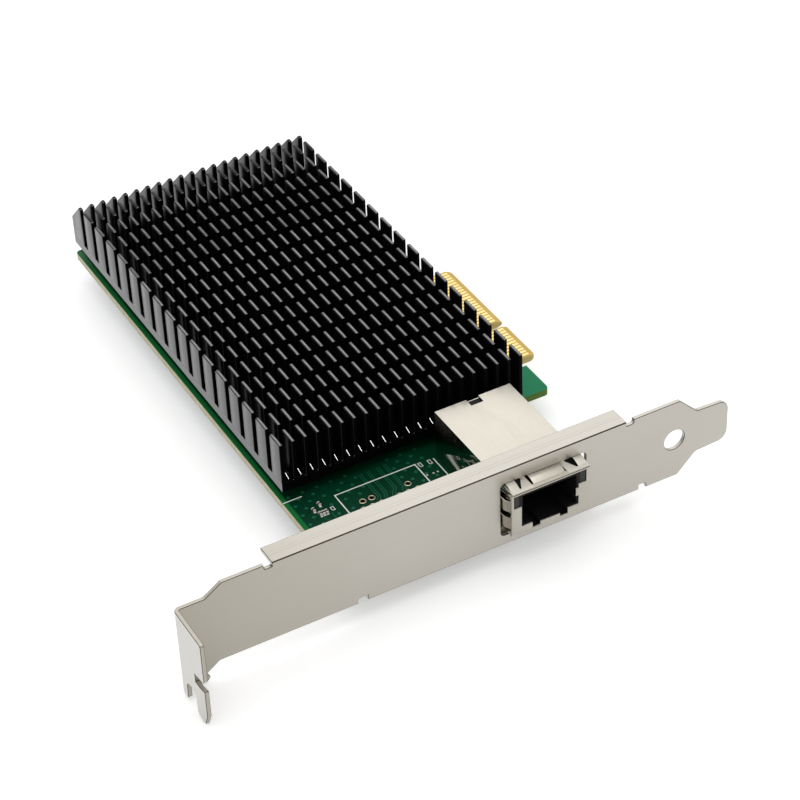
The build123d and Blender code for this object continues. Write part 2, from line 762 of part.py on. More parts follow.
def cutout_corners():
    """Outline of the plug opening in the front plate, in X and Z."""
    half = PLUG_WIDTH / 2
    window = JACK_WIDTH / 2 - WINDOW_INSET
    c = JACK_CENTRE
    return [
        (c - window, PLUG_TOP, 0),
        (c - window, WINDOW_BOTTOM, 0),
        (c - half, WINDOW_BOTTOM, 0),
        (c - half, PLUG_BOTTOM, 0),
        (c - KEY_SLOT_OUTER, PLUG_BOTTOM, 0),
        (c - KEY_SLOT_OUTER, KEY_SLOT_BOTTOM, 0),
        (c - KEY_SLOT_INNER, KEY_SLOT_BOTTOM, 0),
        (c - KEY_SLOT_INNER, KEY_TONGUE_TOP, 0),
        (c + KEY_SLOT_INNER, KEY_TONGUE_TOP, 0),
        (c + KEY_SLOT_INNER, KEY_SLOT_BOTTOM, 0),
        (c + KEY_SLOT_OUTER, KEY_SLOT_BOTTOM, 0),
        (c + KEY_SLOT_OUTER, PLUG_BOTTOM, 0),
        (c + half, PLUG_BOTTOM, 0),
        (c + half, CONTACT_TAB_BOTTOM, 0),
        (c + half - CONTACT_TAB_REACH, CONTACT_TAB_BOTTOM, 0),
        (c + half - CONTACT_TAB_REACH, CONTACT_TAB_TOP, 0),
        (c + half, CONTACT_TAB_TOP, 0),
        (c + half, WINDOW_BOTTOM, 0),
        (c + window, WINDOW_BOTTOM, 0),
        (c + window, PLUG_TOP, 0),
    ]


def top_finger_spans():
    """Spans in X of the spring fingers over the top of the shell."""
    half = CENTRE_FINGER_WIDTH / 2
    inner = half + FINGER_SLOT + BAR_WIDTH + FINGER_SLOT
    outer = inner + CORNER_FINGER_WIDTH
    c = JACK_CENTRE
    return [(c - half, c + half), (c - outer, c - inner), (c + inner, c + outer)]


def side_finger_spans():
    """Spans in Z of the spring fingers on each side of the shell."""
    spans = []
    for k in range(SIDE_FINGER_COUNT):
        z0 = SIDE_FINGER_BOTTOM + k * SIDE_FINGER_PITCH
        spans.append((z0, z0 + SIDE_FINGER_HEIGHT))
    return spans


def finger_section(base, reach):
    """Bowed spring leaf: distances back from the shell front, and heights off the shell."""
    front = JACK_FRONT
    crest = reach - FINGER_SEAT_GAP
    bow = base + crest * FINGER_BOW_SHARE
    return [
        (front + FINGER_RISE_AT, base, 0),
        (SHEET / 2 - FINGER_BOW_RUN, bow, FINGER_BOW_ROUND),
        (SHEET / 2, base + crest, FINGER_CREST_ROUND),
        (SHEET / 2 + FINGER_BOW_RUN, bow, FINGER_BOW_ROUND),
        (front + FINGER_LENGTH, base, 0),
    ]


def finger_leaf(base, reach):
    """Closed outline of a leaf one shell thickness deep."""
    outer = finger_section(base, reach)
    inner = [(y, h - SHELL, r) for y, h, r in reversed(outer)]
    return outer + inner


def shell_fingers():
    leaves = []
    top_leaf = finger_leaf(JACK_HEIGHT, OPENING_TOP_GAP)
    for x0, x1 in top_finger_spans():
        leaves.append(slab_yz(top_leaf, x0, x1 - x0))
    side_leaf = finger_leaf(0.0, OPENING_SIDE_GAP)
    for z0, z1 in side_finger_spans():
        left = [(JACK_LEFT - h, y, r) for y, h, r in side_leaf]
        right = [(JACK_RIGHT + h, y, r) for y, h, r in side_leaf]
        leaves.append(slab_xy(left, z0, z1 - z0))
        leaves.append(slab_xy(right, z0, z1 - z0))
    return leaves


def finger_windows():
    """Slots in the shell that free the spring fingers."""
    y0 = JACK_FRONT + FINGER_RISE_AT
    y1 = JACK_FRONT + FINGER_LENGTH
    s = FINGER_SLOT
    low = JACK_HEIGHT - 2 * SHELL
    centre, *corners = top_finger_spans()
    cuts = [block(centre[0] - s, centre[1] + s, y0, y1, low, JACK_HEIGHT + 1)]
    for x0, x1 in corners:
        side = 1 if x0 > JACK_CENTRE else -1
        inner, outer = (x0, x1) if side > 0 else (x1, x0)
        slot = [
            (inner - side * s, y0, 0),
            (inner - side * (s + BAR_TAPER), SHEET / 2, 0),
            (inner - side * (s + BAR_TAPER), y1, 0),
            (outer, y1, 0),
            (outer, y0, 0),
        ]
        cuts.append(slab_xy(slot, low, JACK_HEIGHT + 1 - low))
    for z0, z1 in side_finger_spans():
        for x in (JACK_LEFT, JACK_RIGHT):
            cuts.append(block(x - 1, x + 1, y0, y1, z0 - s / 2, z1 + s / 2))
    return cuts


def front_step():
    """Clearance under the part of the socket that overhangs the front of the board."""
    x0 = JACK_LEFT - 1
    x1 = JACK_RIGHT + 1
    return block(x0, x1, JACK_FRONT - 1, BOARD_FRONT, -1.0, JACK_STANDOFF)


def make_jack_shield():
    outer = block(JACK_LEFT, JACK_RIGHT, JACK_FRONT, JACK_BACK, 0.0, JACK_HEIGHT)
    inner = block(
        JACK_LEFT + SHELL,
        JACK_RIGHT - SHELL,
        JACK_FRONT + SHELL,
        JACK_BACK - SHELL,
        -1.0,
        JACK_HEIGHT - SHELL,
    )
    under = front_step()
    opening = slab_xz(cutout_corners(), JACK_FRONT - 1, SHELL + 1)
    notch_x = JACK_CENTRE + BACK_NOTCH_SHIFT
    notch = block(
        notch_x - BACK_NOTCH_WIDTH / 2,
        notch_x + BACK_NOTCH_WIDTH / 2,
        JACK_BACK - BACK_NOTCH_DEPTH,
        JACK_BACK + 1,
        JACK_HEIGHT - 2 * SHELL,
        JACK_HEIGHT + 1,
    )
    shell = outer - [inner, opening, notch, under] - finger_windows()
    lip = block(
        JACK_LEFT,
        JACK_RIGHT,
        JACK_FRONT - FRONT_LIP_REACH,
        JACK_FRONT + FINGER_RISE_AT,
        PLUG_TOP + FRONT_LIP_OVER_PLUG,
        JACK_HEIGHT + FRONT_LIP_RISE,
    )
    pegs = []
    for x, y in PEG_PLACES:
        y0 = y - PEG_WIDTH / 2
        y1 = y + PEG_WIDTH / 2
        pegs.append(block(x - SHELL / 2, x + SHELL / 2, y0, y1, Z_UNDER - PEG_TAIL, JACK_STANDOFF))
    hollow = block(
        JACK_LEFT + SHELL,
        JACK_RIGHT - SHELL,
        JACK_FRONT + SHELL,
        JACK_FRONT + FRONT_LIP_HOLLOW,
        PLUG_TOP,
        JACK_HEIGHT - SHELL,
    )
    return (shell + (lip - hollow)).fuse(*shell_fingers(), *pegs)


def housing_box():
    """Inside of the shell: left, right, front, back, bottom, top."""
    left = JACK_LEFT + SHELL
    right = JACK_RIGHT - SHELL
    return left, right, JACK_FRONT + SHELL, JACK_BACK - SHELL, 0.0, JACK_HEIGHT - 2 * SHELL


def window_boxes(extra=0.0):
    """Places of the two light windows beside the plug."""
    y0 = JACK_FRONT + SHELL
    inner = PLUG_WIDTH / 2 + PLUG_WALL_GAP
    outer = JACK_WIDTH / 2 - WINDOW_INSET - WINDOW_CLEARANCE
    boxes = []
    for side in (-1, 1):
        xs = sorted((JACK_CENTRE + side * inner, JACK_CENTRE + side * outer))
        z0 = WINDOW_BOTTOM + WINDOW_CLEARANCE
        z1 = PLUG_TOP - WINDOW_CLEARANCE
        boxes.append(block(xs[0], xs[1], y0 - extra, y0 + WINDOW_DEPTH, z0, z1))
    return boxes


def magnetics_box():
    left, right, _, back, _, top = housing_box()
    front = JACK_FRONT + CAVITY_DEPTH + MAGNETICS_GAP
    back -= MAGNETICS_TOP_WALL
    top -= MAGNETICS_TOP_WALL
    return left + MAGNETICS_WALL, right - MAGNETICS_WALL, front, back, MAGNETICS_BOTTOM, top


def signal_channel():
    """Room over the plug for the contact wires."""
    half = SIGNAL_COUNT * SIGNAL_PITCH / 2 + CHANNEL_MARGIN
    y0 = JACK_FRONT + CHANNEL_FRONT
    y1 = JACK_FRONT + CAVITY_DEPTH
    z0 = PLUG_TOP - CHANNEL_DROP
    return block(JACK_CENTRE - half, JACK_CENTRE + half, y0, y1, z0, PLUG_TOP + CHANNEL_RISE)


def make_jack_housing():
    left, right, front, back, low, high = housing_box()
    body = block(left, right, front, back, low, high)
    c = JACK_CENTRE
    half = PLUG_WIDTH / 2 - CAVITY_INSET
    y_end = front + CAVITY_DEPTH
    floor = PLUG_BOTTOM + CAVITY_FLOOR
    plug = block(c - half, c + half, front - 1, y_end, floor, PLUG_TOP - CAVITY_ROOF)
    latch = LATCH_WIDTH / 2
    deep = front + LATCH_DEPTH
    key = block(c - latch, c + latch, front - 1, deep, KEY_TONGUE_TOP, KEY_SLOT_TOP)
    slots = []
    for side in (-1, 1):
        xs = sorted((c + side * KEY_SLOT_INNER, c + side * KEY_SLOT_OUTER))
        slots.append(block(xs[0], xs[1], front - 1, deep, KEY_SLOT_BOTTOM, KEY_SLOT_TOP))
    sealed = block(*magnetics_box())
    tab_end = front + CONTACT_TAB_DEPTH
    tab = block(c + half - 1, right + 1, front - 1, tab_end, CONTACT_TAB_BOTTOM, CONTACT_TAB_TOP)
    cuts = [plug, key, front_step(), sealed, tab, signal_channel()]
    return body - cuts - slots - window_boxes(1.0)


def make_jack_light_windows():
    return Compound(children=window_boxes())


def make_jack_contacts():
    """Sprung wires that slope down from the front roof of the cavity towards its back."""
    y_front = JACK_FRONT + WIRE_FRONT
    y_back = JACK_FRONT + CAVITY_DEPTH
    y_tip = y_back - WIRE_TIP
    roof = PLUG_TOP + CHANNEL_RISE
    low = roof - WIRE_DROP
    wires = []
    for k in range(SIGNAL_COUNT):
        x = JACK_CENTRE + (k - (SIGNAL_COUNT - 1) / 2) * SIGNAL_PITCH
        path = [
            (y_back, roof),
            (y_front, roof),
            (y_front, roof - WIRE),
            (y_back - WIRE_BEND, roof - WIRE),
            (y_tip, low),
            (y_tip + WIRE, low),
            (y_back - WIRE_BEND_INSIDE, roof - WIRE),
            (y_back, roof - WIRE),
        ]
        wires.append(slab_yz([(y, z, 0) for y, z in path], x - WIRE / 2, WIRE))
    return Compound(children=wires)


def make_jack_magnetics():
    return block(*magnetics_box())


def make_jack_pins():
    """Pins with a cone of solder under the board."""
    pins = []
    for x, y in pin_places():
        pin = prism(x, y, Z_UNDER - PIN_TAIL, 0, PIN_WIDTH, 4)
        foot = Pos(x, y, Z_UNDER) * RegularPolygon(PIN_WIDTH / 2 + SOLDER_SPREAD, SMALL_SIDES)
        collar = extrude(foot, amount=-SOLDER_HEIGHT)
        pins.append(pin + chamfer(collar.edges().group_by(Axis.Z)[0], SOLDER_SLOPE))
    return Compound(children=pins)


# Parts on the board

def make_controller_substrate():
    return upright((CHIP_SIDE, CHIP_SIDE, CHIP_BASE), CHIP_X, CHIP_Y)


def make_controller_lid():
    lid = upright((LID_SIDE, LID_SIDE, LID_HEIGHT), CHIP_X, CHIP_Y, CHIP_BASE)
    return chamfer(lid.edges().filter_by(Axis.Z), LID_CORNER)


def make_thermal_pad():
    low = CHIP_BASE + LID_HEIGHT
    return upright((PAD_SIDE, PAD_SIDE, SINK_GAP - low), CHIP_X, CHIP_Y, low)


def line_of(start, pitch, count, along=(1, 0)):
    """Places in a row from a start place."""
    x, y = start
    return [(x + k * pitch * along[0], y + k * pitch * along[1]) for k in range(count)]


def make_power_inductors():
    bodies = []
    for x, y in line_of(INDUCTOR_ROW, INDUCTOR_PITCH, INDUCTOR_COUNT):
        body = upright(INDUCTOR, x, y)
        bodies.append(chamfer(body.edges().filter_by(Axis.Z), INDUCTOR_BEVEL))
    return Compound(children=bodies)


def make_voltage_regulators():
    places = line_of(REGULATOR_ROW, REGULATOR_PITCH, REGULATOR_COUNT)
    return Compound(children=[upright(REGULATOR, x, y) for x, y in places])


def make_polymer_capacitors():
    return Compound(children=[upright(POLYMER, x, y) for x, y in POLYMER_PLACES])


def make_crystal():
    can = upright(CRYSTAL, *CRYSTAL_PLACE)
    return chamfer(can.edges().filter_by(Axis.Z), CRYSTAL_CORNER)


def leg_section(side):
    """Gull-wing lead in X and Z, from the middle of the body out to its foot."""
    x, _ = FLASH_PLACE
    body = x + side * FLASH_BODY[0] / 2
    shoulder = body + side * LEG_REACH / 2
    toe = body + side * LEG_REACH
    return [
        (body, LEG_HEIGHT, 0),
        (shoulder, LEG_HEIGHT, 0),
        (shoulder, LEG_SHEET, 0),
        (toe, LEG_SHEET, 0),
        (toe, 0.0, 0),
        (shoulder - side * LEG_SHEET, 0.0, 0),
        (shoulder - side * LEG_SHEET, LEG_HEIGHT - LEG_SHEET, 0),
        (body, LEG_HEIGHT - LEG_SHEET, 0),
    ]


def make_flash_memory():
    x, y = FLASH_PLACE
    legs = []
    for side in (-1, 1):
        for k in range(LEG_COUNT):
            leg_y = y + (k - (LEG_COUNT - 1) / 2) * LEG_PITCH
            legs.append(slab_xz(leg_section(side), leg_y - LEG_WIDTH / 2, LEG_WIDTH))
    return upright(FLASH_BODY, x, y, FLASH_LIFT).fuse(*legs)


def capacitor_places():
    """A few by the bracket, three rows round the controller and one behind the contacts."""
    places = [(x, y, SMALL_CAP) for x, y in FRONT_CAPS]
    ring = CHIP_SIDE / 2 + CHIP_CAP_GAP
    for k in range(CHIP_CAP_COUNT):
        offset = (k - (CHIP_CAP_COUNT - 1) / 2) * CHIP_CAP_PITCH
        places.append((CHIP_X - ring, CHIP_Y + offset, CHIP_CAP))
        places.append((CHIP_X + ring, CHIP_Y + offset, CHIP_CAP))
        places.append((CHIP_X + offset, CHIP_Y - ring, CHIP_CAP))
    start = (TAB_SHOULDER - TAB_CAP_INSET, TAB_START + TAB_CAP_START)
    for x, y in line_of(start, TAB_CAP_PITCH, TAB_CAP_COUNT, (0, 1)):
        places.append((x, y, SMALL_CAP))
    return places


def make_ceramic_capacitors():
    return Compound(children=[upright(size, x, y) for x, y, size in capacitor_places()])


def make_resistors():
    places = line_of(RESISTOR_ROW, RESISTOR_PITCH, RESISTOR_COUNT)
    places += line_of(RESISTOR_COLUMN, COLUMN_PITCH, COLUMN_COUNT, (0, 1))
    return Compound(children=[upright(CHIP_RESISTOR, x, y) for x, y in places])


def make_solder_side_capacitors():
    columns, rows = SOLDER_CAP_GRID
    pitch_x, pitch_y = SOLDER_CAP_PITCHES
    parts = []
    for row in range(rows):
        for column in range(columns):
            x = CHIP_X + (column - (columns - 1) / 2) * pitch_x
            y = CHIP_Y + (row - (rows - 1) / 2) * pitch_y
            parts.append(upright(CHIP_CAP, x, y, Z_UNDER - CHIP_CAP[2]))
    return Compound(children=parts)


def main():
    nodes = {
        "circuit_board": make_circuit_board(),
        "edge_contacts_top": make_edge_contacts(0.0),
        "edge_contacts_bottom": make_edge_contacts(Z_UNDER - CONTACT_THICKNESS),
        "spare_port_rings": make_spare_port_rings(),
        "bracket": make_bracket(),
        "bracket_screws": make_bracket_screws(),
        "heatsink": make_heatsink(),
        "heatsink_standoffs": make_heatsink_standoffs(),
        "heatsink_screws": make_heatsink_screws(),
        "jack_shield": make_jack_shield(),
        "jack_housing": make_jack_housing(),
        "jack_light_windows": make_jack_light_windows(),
        "jack_contacts": make_jack_contacts(),
        "jack_magnetics": make_jack_magnetics(),
        "jack_pins": make_jack_pins(),
        "controller_substrate": make_controller_substrate(),
        "controller_lid": make_controller_lid(),
        "thermal_pad": make_thermal_pad(),
        "power_inductors": make_power_inductors(),
        "voltage_regulators": make_voltage_regulators(),
        "polymer_capacitors": make_polymer_capacitors(),
        "crystal": make_crystal(),
        "flash_memory": make_flash_memory(),
        "ceramic_capacitors": make_ceramic_capacitors(),
        "resistors": make_resistors(),
        "solder_side_capacitors": make_solder_side_capacitors(),
    }
    os.makedirs("parts", exist_ok=True)
    for name, solid in nodes.items():
        export_step(solid, f"parts/{name}.step")


main()
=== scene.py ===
import math
import random

import bmesh
import bpy
from mathutils import Matrix, Vector


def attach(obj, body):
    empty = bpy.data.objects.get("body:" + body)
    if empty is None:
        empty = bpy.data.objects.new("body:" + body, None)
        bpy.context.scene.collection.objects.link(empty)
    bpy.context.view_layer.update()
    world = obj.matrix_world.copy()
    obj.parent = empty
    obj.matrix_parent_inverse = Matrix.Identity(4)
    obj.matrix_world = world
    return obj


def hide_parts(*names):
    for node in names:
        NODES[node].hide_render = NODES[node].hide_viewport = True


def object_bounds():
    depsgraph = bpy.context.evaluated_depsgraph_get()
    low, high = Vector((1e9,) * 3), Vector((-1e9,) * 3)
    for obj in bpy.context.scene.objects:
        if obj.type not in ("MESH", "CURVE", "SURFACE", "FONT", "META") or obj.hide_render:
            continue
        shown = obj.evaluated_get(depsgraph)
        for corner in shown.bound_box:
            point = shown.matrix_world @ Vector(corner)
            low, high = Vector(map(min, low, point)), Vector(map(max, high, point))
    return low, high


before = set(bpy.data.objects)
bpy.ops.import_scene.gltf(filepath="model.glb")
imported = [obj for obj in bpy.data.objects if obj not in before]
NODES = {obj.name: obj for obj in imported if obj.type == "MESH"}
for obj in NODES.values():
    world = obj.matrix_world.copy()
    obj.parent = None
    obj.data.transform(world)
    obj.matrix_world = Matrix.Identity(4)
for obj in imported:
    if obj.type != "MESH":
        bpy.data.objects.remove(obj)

CAD_BOX = [list(corner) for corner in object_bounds()]
MM = 0.001

# Sizes repeated from the CAD part, in millimetres
BOARD_UNDER = -1.57
SINK_X = (-23.57, 31.08)
SINK_FRONT = 29.75
SINK_GAP = 2.65
SINK_FLOOR = 4.80
SINK_TOP = 14.35
FIN_COUNT = 21
FIN_THICKNESS = 0.80
ROW_COUNT = 17
ROW_PITCH = 5.91
ROW_LENGTH = 4.10
LAST_ROW_LENGTH = 5.60
SINK_CHAMFER = 4.70
TIP_ROUND = 0.24
SINK_END = SINK_FRONT + (ROW_COUNT - 1) * ROW_PITCH + LAST_ROW_LENGTH
SPARE_RINGS = [
    (-11.0, 19.9), (-9.0, 19.9), (-7.0, 19.9), (-3.0, 19.9), (-1.0, 19.9),
    (1.1, 19.9), (-10.1, 22.15), (-8.1, 22.15), (0.0, 22.15),
]
JACK_X = (8.85, 26.05)
PLUG_TOP = 10.15
LIP_TOP = 11.27
LIP_LIFT = 0.25
BRACKET_LOW_Z = -3.15
BRACKET_HIGH_Z = 15.27
BLADE_PITCH = (SINK_X[1] - SINK_X[0] - FIN_THICKNESS) / (FIN_COUNT - 1)

# Heights of what is printed or plated on the board, bottom and top, in millimetres
PRINT_Z = (-0.005, 0.03)
TRACE_Z = (-0.005, 0.02)
PAD_Z = (-0.005, 0.018)
UNDER_TRACE_Z = (BOARD_UNDER - 0.02, BOARD_UNDER + 0.005)

# Grain of the surfaces: the part of a noise that is spread over a range, and bump depths in metres
NOISE_LOW = 0.3
NOISE_HIGH = 0.7
GRAIN_DEPTH = 0.00002
POLISH_DEPTH = 0.00001


# Materials

def lin(r, g, b):
    """Linear colour from the 0 to 255 values seen in a picture."""
    out = []
    for v in (r, g, b):
        v = v / 255
        out.append(v / 12.92 if v <= 0.04045 else ((v + 0.055) / 1.055) ** 2.4)
    return (*out, 1.0)


def scaled(color, k):
    return tuple(min(1.0, c * k) for c in color[:3]) + (1.0,)


SOCKETS = {
    "color": "Base Color", "rough": "Roughness", "metal": "Metallic", "ior": "IOR",
    "specular": "Specular IOR Level", "emit": "Emission Color", "emit_strength": "Emission Strength",
}


class Graph:
    """Short names for building a node tree."""

    def __init__(self, name):
        self.mat = bpy.data.materials.new(name)
        self.mat.use_nodes = True
        self.nt = self.mat.node_tree
        self.bsdf = self.nt.nodes["Principled BSDF"]
        self.coord = self.add("ShaderNodeTexCoord")

    def add(self, kind, **values):
        node = self.nt.nodes.new(kind)
        for key, value in values.items():
            setattr(node, key, value)
        return node

    def link(self, a, b):
        self.nt.links.new(a, b)

    def feed(self, value, socket):
        """Link another node's output to the socket, or set the socket's own value."""
        if hasattr(value, "is_output"):
            self.link(value, socket)
        else:
            socket.default_value = value

    def mapped(self, stretch):
        node = self.add("ShaderNodeMapping")
        node.inputs["Scale"].default_value = stretch
        self.link(self.coord.outputs["Object"], node.inputs["Vector"])
        return node.outputs["Vector"]

    def noise(self, scale, detail=3.0, stretch=(1, 1, 1), rough=0.5):
        node = self.add("ShaderNodeTexNoise")
        node.inputs["Scale"].default_value = scale
        node.inputs["Detail"].default_value = detail
        node.inputs["Roughness"].default_value = rough
        self.link(self.mapped(stretch), node.inputs["Vector"])
        return node.outputs["Fac"]

    def ramp(self, fac, low, high, to_low=0.0, to_high=1.0):
        node = self.add("ShaderNodeMapRange")
        node.inputs["From Min"].default_value = low
        node.inputs["From Max"].default_value = high
        node.inputs["To Min"].default_value = to_low
        node.inputs["To Max"].default_value = to_high
        self.link(fac, node.inputs["Value"])
        return node.outputs["Result"]

    def spread(self, noise, to_low=0.0, to_high=1.0):
        """The middle values of a noise, spread over a range."""
        return self.ramp(noise, NOISE_LOW, NOISE_HIGH, to_low, to_high)

    def mix(self, fac, a, b):
        node = self.add("ShaderNodeMix", data_type="RGBA")
        self.feed(a, node.inputs["A"])
        self.feed(b, node.inputs["B"])
        self.feed(fac, node.inputs["Factor"])
        return node.outputs["Result"]

    def math(self, operation, a, b=0.0):
        node = self.add("ShaderNodeMath", operation=operation)
        for socket, value in zip(node.inputs, (a, b)):
            self.feed(value, socket)
        return node.outputs["Value"]

    def position(self):
        """X, Y and Z of the surface point in metres, in the part's own frame."""
        node = self.add("ShaderNodeSeparateXYZ")
        self.link(self.coord.outputs["Object"], node.inputs["Vector"])
        return node.outputs

    def normal(self):
        """X, Y and Z of the surface's direction, in the part's own frame."""
        node = self.add("ShaderNodeSeparateXYZ")
        self.link(self.coord.outputs["Normal"], node.inputs["Vector"])
        return node.outputs

    def band(self, value, low, high, soft):
        """1 where value lies between low and high."""
        up = self.ramp(value, low - soft, low + soft)
        down = self.ramp(value, high - soft, high + soft, 1.0, 0.0)
        return self.math("MULTIPLY", up, down)

    def bump(self, height, strength, distance):
        node = self.add("ShaderNodeBump")
        node.inputs["Strength"].default_value = strength
        node.inputs["Distance"].default_value = distance
        self.link(height, node.inputs["Height"])
        self.link(node.outputs["Normal"], self.bsdf.inputs["Normal"])

    def set(self, **values):
        for key, value in values.items():
            self.feed(value, self.bsdf.inputs[SOCKETS[key]])


def surface(name, color, rough, metal=0.0, ior=1.5, grain=900.0, tint=0.10,
            span=0.06, bump=0.15, patch=60.0):
    """A worked finish: fine grain in the colour and bump, broad patches in the gloss."""
    g = Graph(name)
    fine = g.noise(grain, 4.0)
    broad = g.noise(patch)
    shade = g.mix(g.spread(fine), scaled(color, 1 - tint), scaled(color, 1 + tint))
    shade = g.mix(g.ramp(broad, 0.35, 0.65, 0.0, 0.35), shade, scaled(color, 1 - tint * 0.8))
    g.set(color=shade, rough=g.spread(broad, rough - span, rough + span), metal=metal, ior=ior)
    g.bump(fine, bump, GRAIN_DEPTH)
    return g.mat


def bracket_material():
    """Nickel-plated sheet: fine rolling grain along its length and a few faint scuffs, with painted shade
    towards its left end, a painted highlight on the flange's outer face and two painted shade lines along
    the top lip.
    """
    g = Graph("nickel_sheet")
    x, y, _ = g.position()
    nx, _, nz = g.normal()
    grain = g.noise(700.0, 5.0, (0.12, 1.0, 1.0), 0.6)
    broad = g.noise(35.0)
    scuff = g.noise(260.0, 6.0, (0.5, 1.0, 1.4), 0.75)
    base = lin(194, 189, 180)
    shade = g.mix(g.spread(grain), scaled(base, 0.985), scaled(base, 1.012))
    shade = g.mix(g.ramp(scuff, 0.70, 0.78, 0.0, 0.15), shade, scaled(base, 0.80))
    # Painted shade: the sheet is painted darker and warmer towards its left end, from x = -12 mm outwards.
    shade = g.mix(g.ramp(x, -58 * MM, -12 * MM, 0.75, 0.0), shade, lin(170, 165, 152))
    # Painted light: faces turned to -X, the flange's outer face, are painted lighter and more neutral.
    shade = g.mix(g.ramp(nx, -0.8, -0.95), shade, lin(202, 200, 195))
    # Painted shade: two thin dark lines are painted along the top of the lip, where the fold shows dark.
    on_lip = g.math("MULTIPLY", g.ramp(nz, 0.8, 0.9), g.ramp(y, 0.9 * MM, 1.1 * MM))
    half_line, soft_line = 0.07, 0.05
    for at, deep in ((1.99, 0.30), (2.72, 0.22)):
        line = g.band(y, (at - half_line) * MM, (at + half_line) * MM, soft_line * MM)
        line = g.math("MULTIPLY", g.math("MULTIPLY", line, on_lip), deep)
        shade = g.mix(line, shade, scaled(base, 0.35))
    g.set(color=shade, metal=0.72, specular=0.6)
    rough = g.spread(broad, 0.30, 0.36)
    g.set(rough=g.math("ADD", rough, g.ramp(scuff, 0.66, 0.78, 0.0, 0.06)))
    g.bump(grain, 0.01, POLISH_DEPTH)
    return g.mat


def fold_shade_material():
    """Painted shade: a dark metal for the tight outer fold of the bracket sheet, which stands for the dark
    line seen along the bend; it also goes on the sheet's rounded edges and along the socket's lip.
    """
    return surface("fold_painted_shade", lin(74, 70, 64), 0.30, metal=1.0, tint=0.10, bump=0.05)


def shield_material():
    """Bright tinned sheet of the socket shell, with painted light: upward faces painted lighter than the
    sides, and a painted highlight on the upward faces at the front, except on the middle finger.
    """
    g = Graph("tinned_sheet")
    grain = g.noise(900.0, 4.0, (1.0, 0.2, 1.0), 0.6)
    broad = g.noise(90.0)
    x, y, _ = g.position()
    nx, _, nz = g.normal()
    # Painted light: lit and shaded copies of the tin, upward faces painted lighter than the sides.
    side, over = lin(180, 176, 165), lin(205, 200, 188)
    upward = g.ramp(nz, 0.50, 0.65)
    # Painted highlight: upward faces at the front, except on the middle finger, are painted pale with less
    # metal.
    outside = g.math("MULTIPLY", upward, g.ramp(y, 0.4 * MM, 0.1 * MM))
    finger_left, finger_right = 13.5, 21.4
    middle = g.band(x, finger_left * MM, finger_right * MM, 0.05 * MM)
    outside = g.math("MULTIPLY", outside, g.ramp(middle, 0.0, 1.0, 1.0, 0.0))
    low = g.mix(upward, scaled(side, 0.97), scaled(over, 0.97))
    high = g.mix(upward, scaled(side, 1.02), scaled(over, 1.02))
    shade = g.mix(g.spread(grain), low, high)
    rough = g.ramp(g.math("ABSOLUTE", nx), 0.8, 0.95, 0.20, 0.07)
    front = g.ramp(y, 0.4 * MM, 0.1 * MM, 0.22, 0.40)
    rough = g.math("ADD", rough, g.math("MULTIPLY", g.ramp(nz, 0.8, 0.95), front))
    shade = g.mix(outside, shade, lin(226, 222, 210))
    metal = g.ramp(g.math("ABSOLUTE", nx), 0.8, 0.95, 0.85, 1.0)
    # Less metal on the painted highlight, so that it stays pale.
    metal = g.math("SUBTRACT", metal, g.math("MULTIPLY", outside, 0.6))
    g.set(color=shade, metal=metal, rough=g.math("ADD", rough, g.spread(broad, -0.02, 0.02)))
    g.bump(grain, 0.02, POLISH_DEPTH)
    return g.mat


def board_material():
    """Green solder mask over copper, bare laminate at the cut edges and a gold-brown tab; the side strips
    are painted a brighter green, partly copper pour and partly painted light, and the hole walls are
    painted dark as shade.
    """
    g = Graph("board_laminate")
    x, y, z = g.position()
    nz = g.normal()[2]
    cloud = g.noise(45.0)
    weave = g.noise(1500.0, 3.0, (1.0, 0.3, 1.0))
    deep, light = lin(0, 47, 29), lin(1, 64, 41)
    mask = g.mix(g.ramp(cloud, 0.35, 0.65), deep, light)
    mask = g.mix(g.ramp(weave, 0.35, 0.65, 0.0, 0.25), mask, scaled(light, 1.15))
    # Copper pour under the mask at the two side strips, partly real and partly painted light: it is painted
    # a much brighter green than the rest, as those open strips stood in more light.
    pour_and_light = g.math("MAXIMUM", g.ramp(x, 32.2 * MM, 32.6 * MM), g.ramp(x, -22.6 * MM, -22.9 * MM))
    pour_and_light_color = g.mix(g.ramp(x, -10 * MM, 10 * MM), lin(22, 112, 56), lin(14, 128, 84))
    mask = g.mix(pour_and_light, mask, pour_and_light_color)
    edge = g.mix(g.spread(weave), lin(196, 190, 158), lin(222, 216, 188))
    layer = g.band(z, -1.56 * MM, -1.44 * MM, 0.02 * MM)
    edge = g.mix(g.math("MULTIPLY", layer, 0.7), edge, lin(96, 92, 66))
    tab_color = g.mix(g.spread(weave), lin(206, 172, 92), lin(220, 188, 108))
    on_tab = g.math("MULTIPLY", g.ramp(x, 35.55 * MM, 35.70 * MM), g.band(y, 44.4 * MM, 80 * MM, 0.1 * MM))
    flat = g.ramp(g.math("ABSOLUTE", nz), 0.5, 0.6)
    face = g.mix(on_tab, mask, tab_color)
    ledge = g.math("MULTIPLY", g.ramp(x, 30 * MM, 31 * MM), g.ramp(y, 44 * MM, 43 * MM))
    edge = g.mix(ledge, edge, lin(104, 134, 66))
    tab_edge = g.mix(on_tab, edge, lin(222, 200, 132))
    # Painted shade: the walls of the holes through the middle of the board are painted near black-brown.
    hole_wall_shade = g.math("MULTIPLY", g.band(x, -22 * MM, 30 * MM, 0.1 * MM), g.band(y, 6 * MM, 60 * MM, 0.1 * MM))
    tab_edge = g.mix(hole_wall_shade, tab_edge, lin(26, 20, 12))
    g.set(color=g.mix(flat, tab_edge, face))
    g.set(rough=g.mix(flat, (0.75, 0.75, 0.75, 1), (0.40, 0.40, 0.40, 1)))
    g.set(ior=1.33, specular=0.25)
    g.bump(weave, 0.12, GRAIN_DEPTH)
    return g.mat


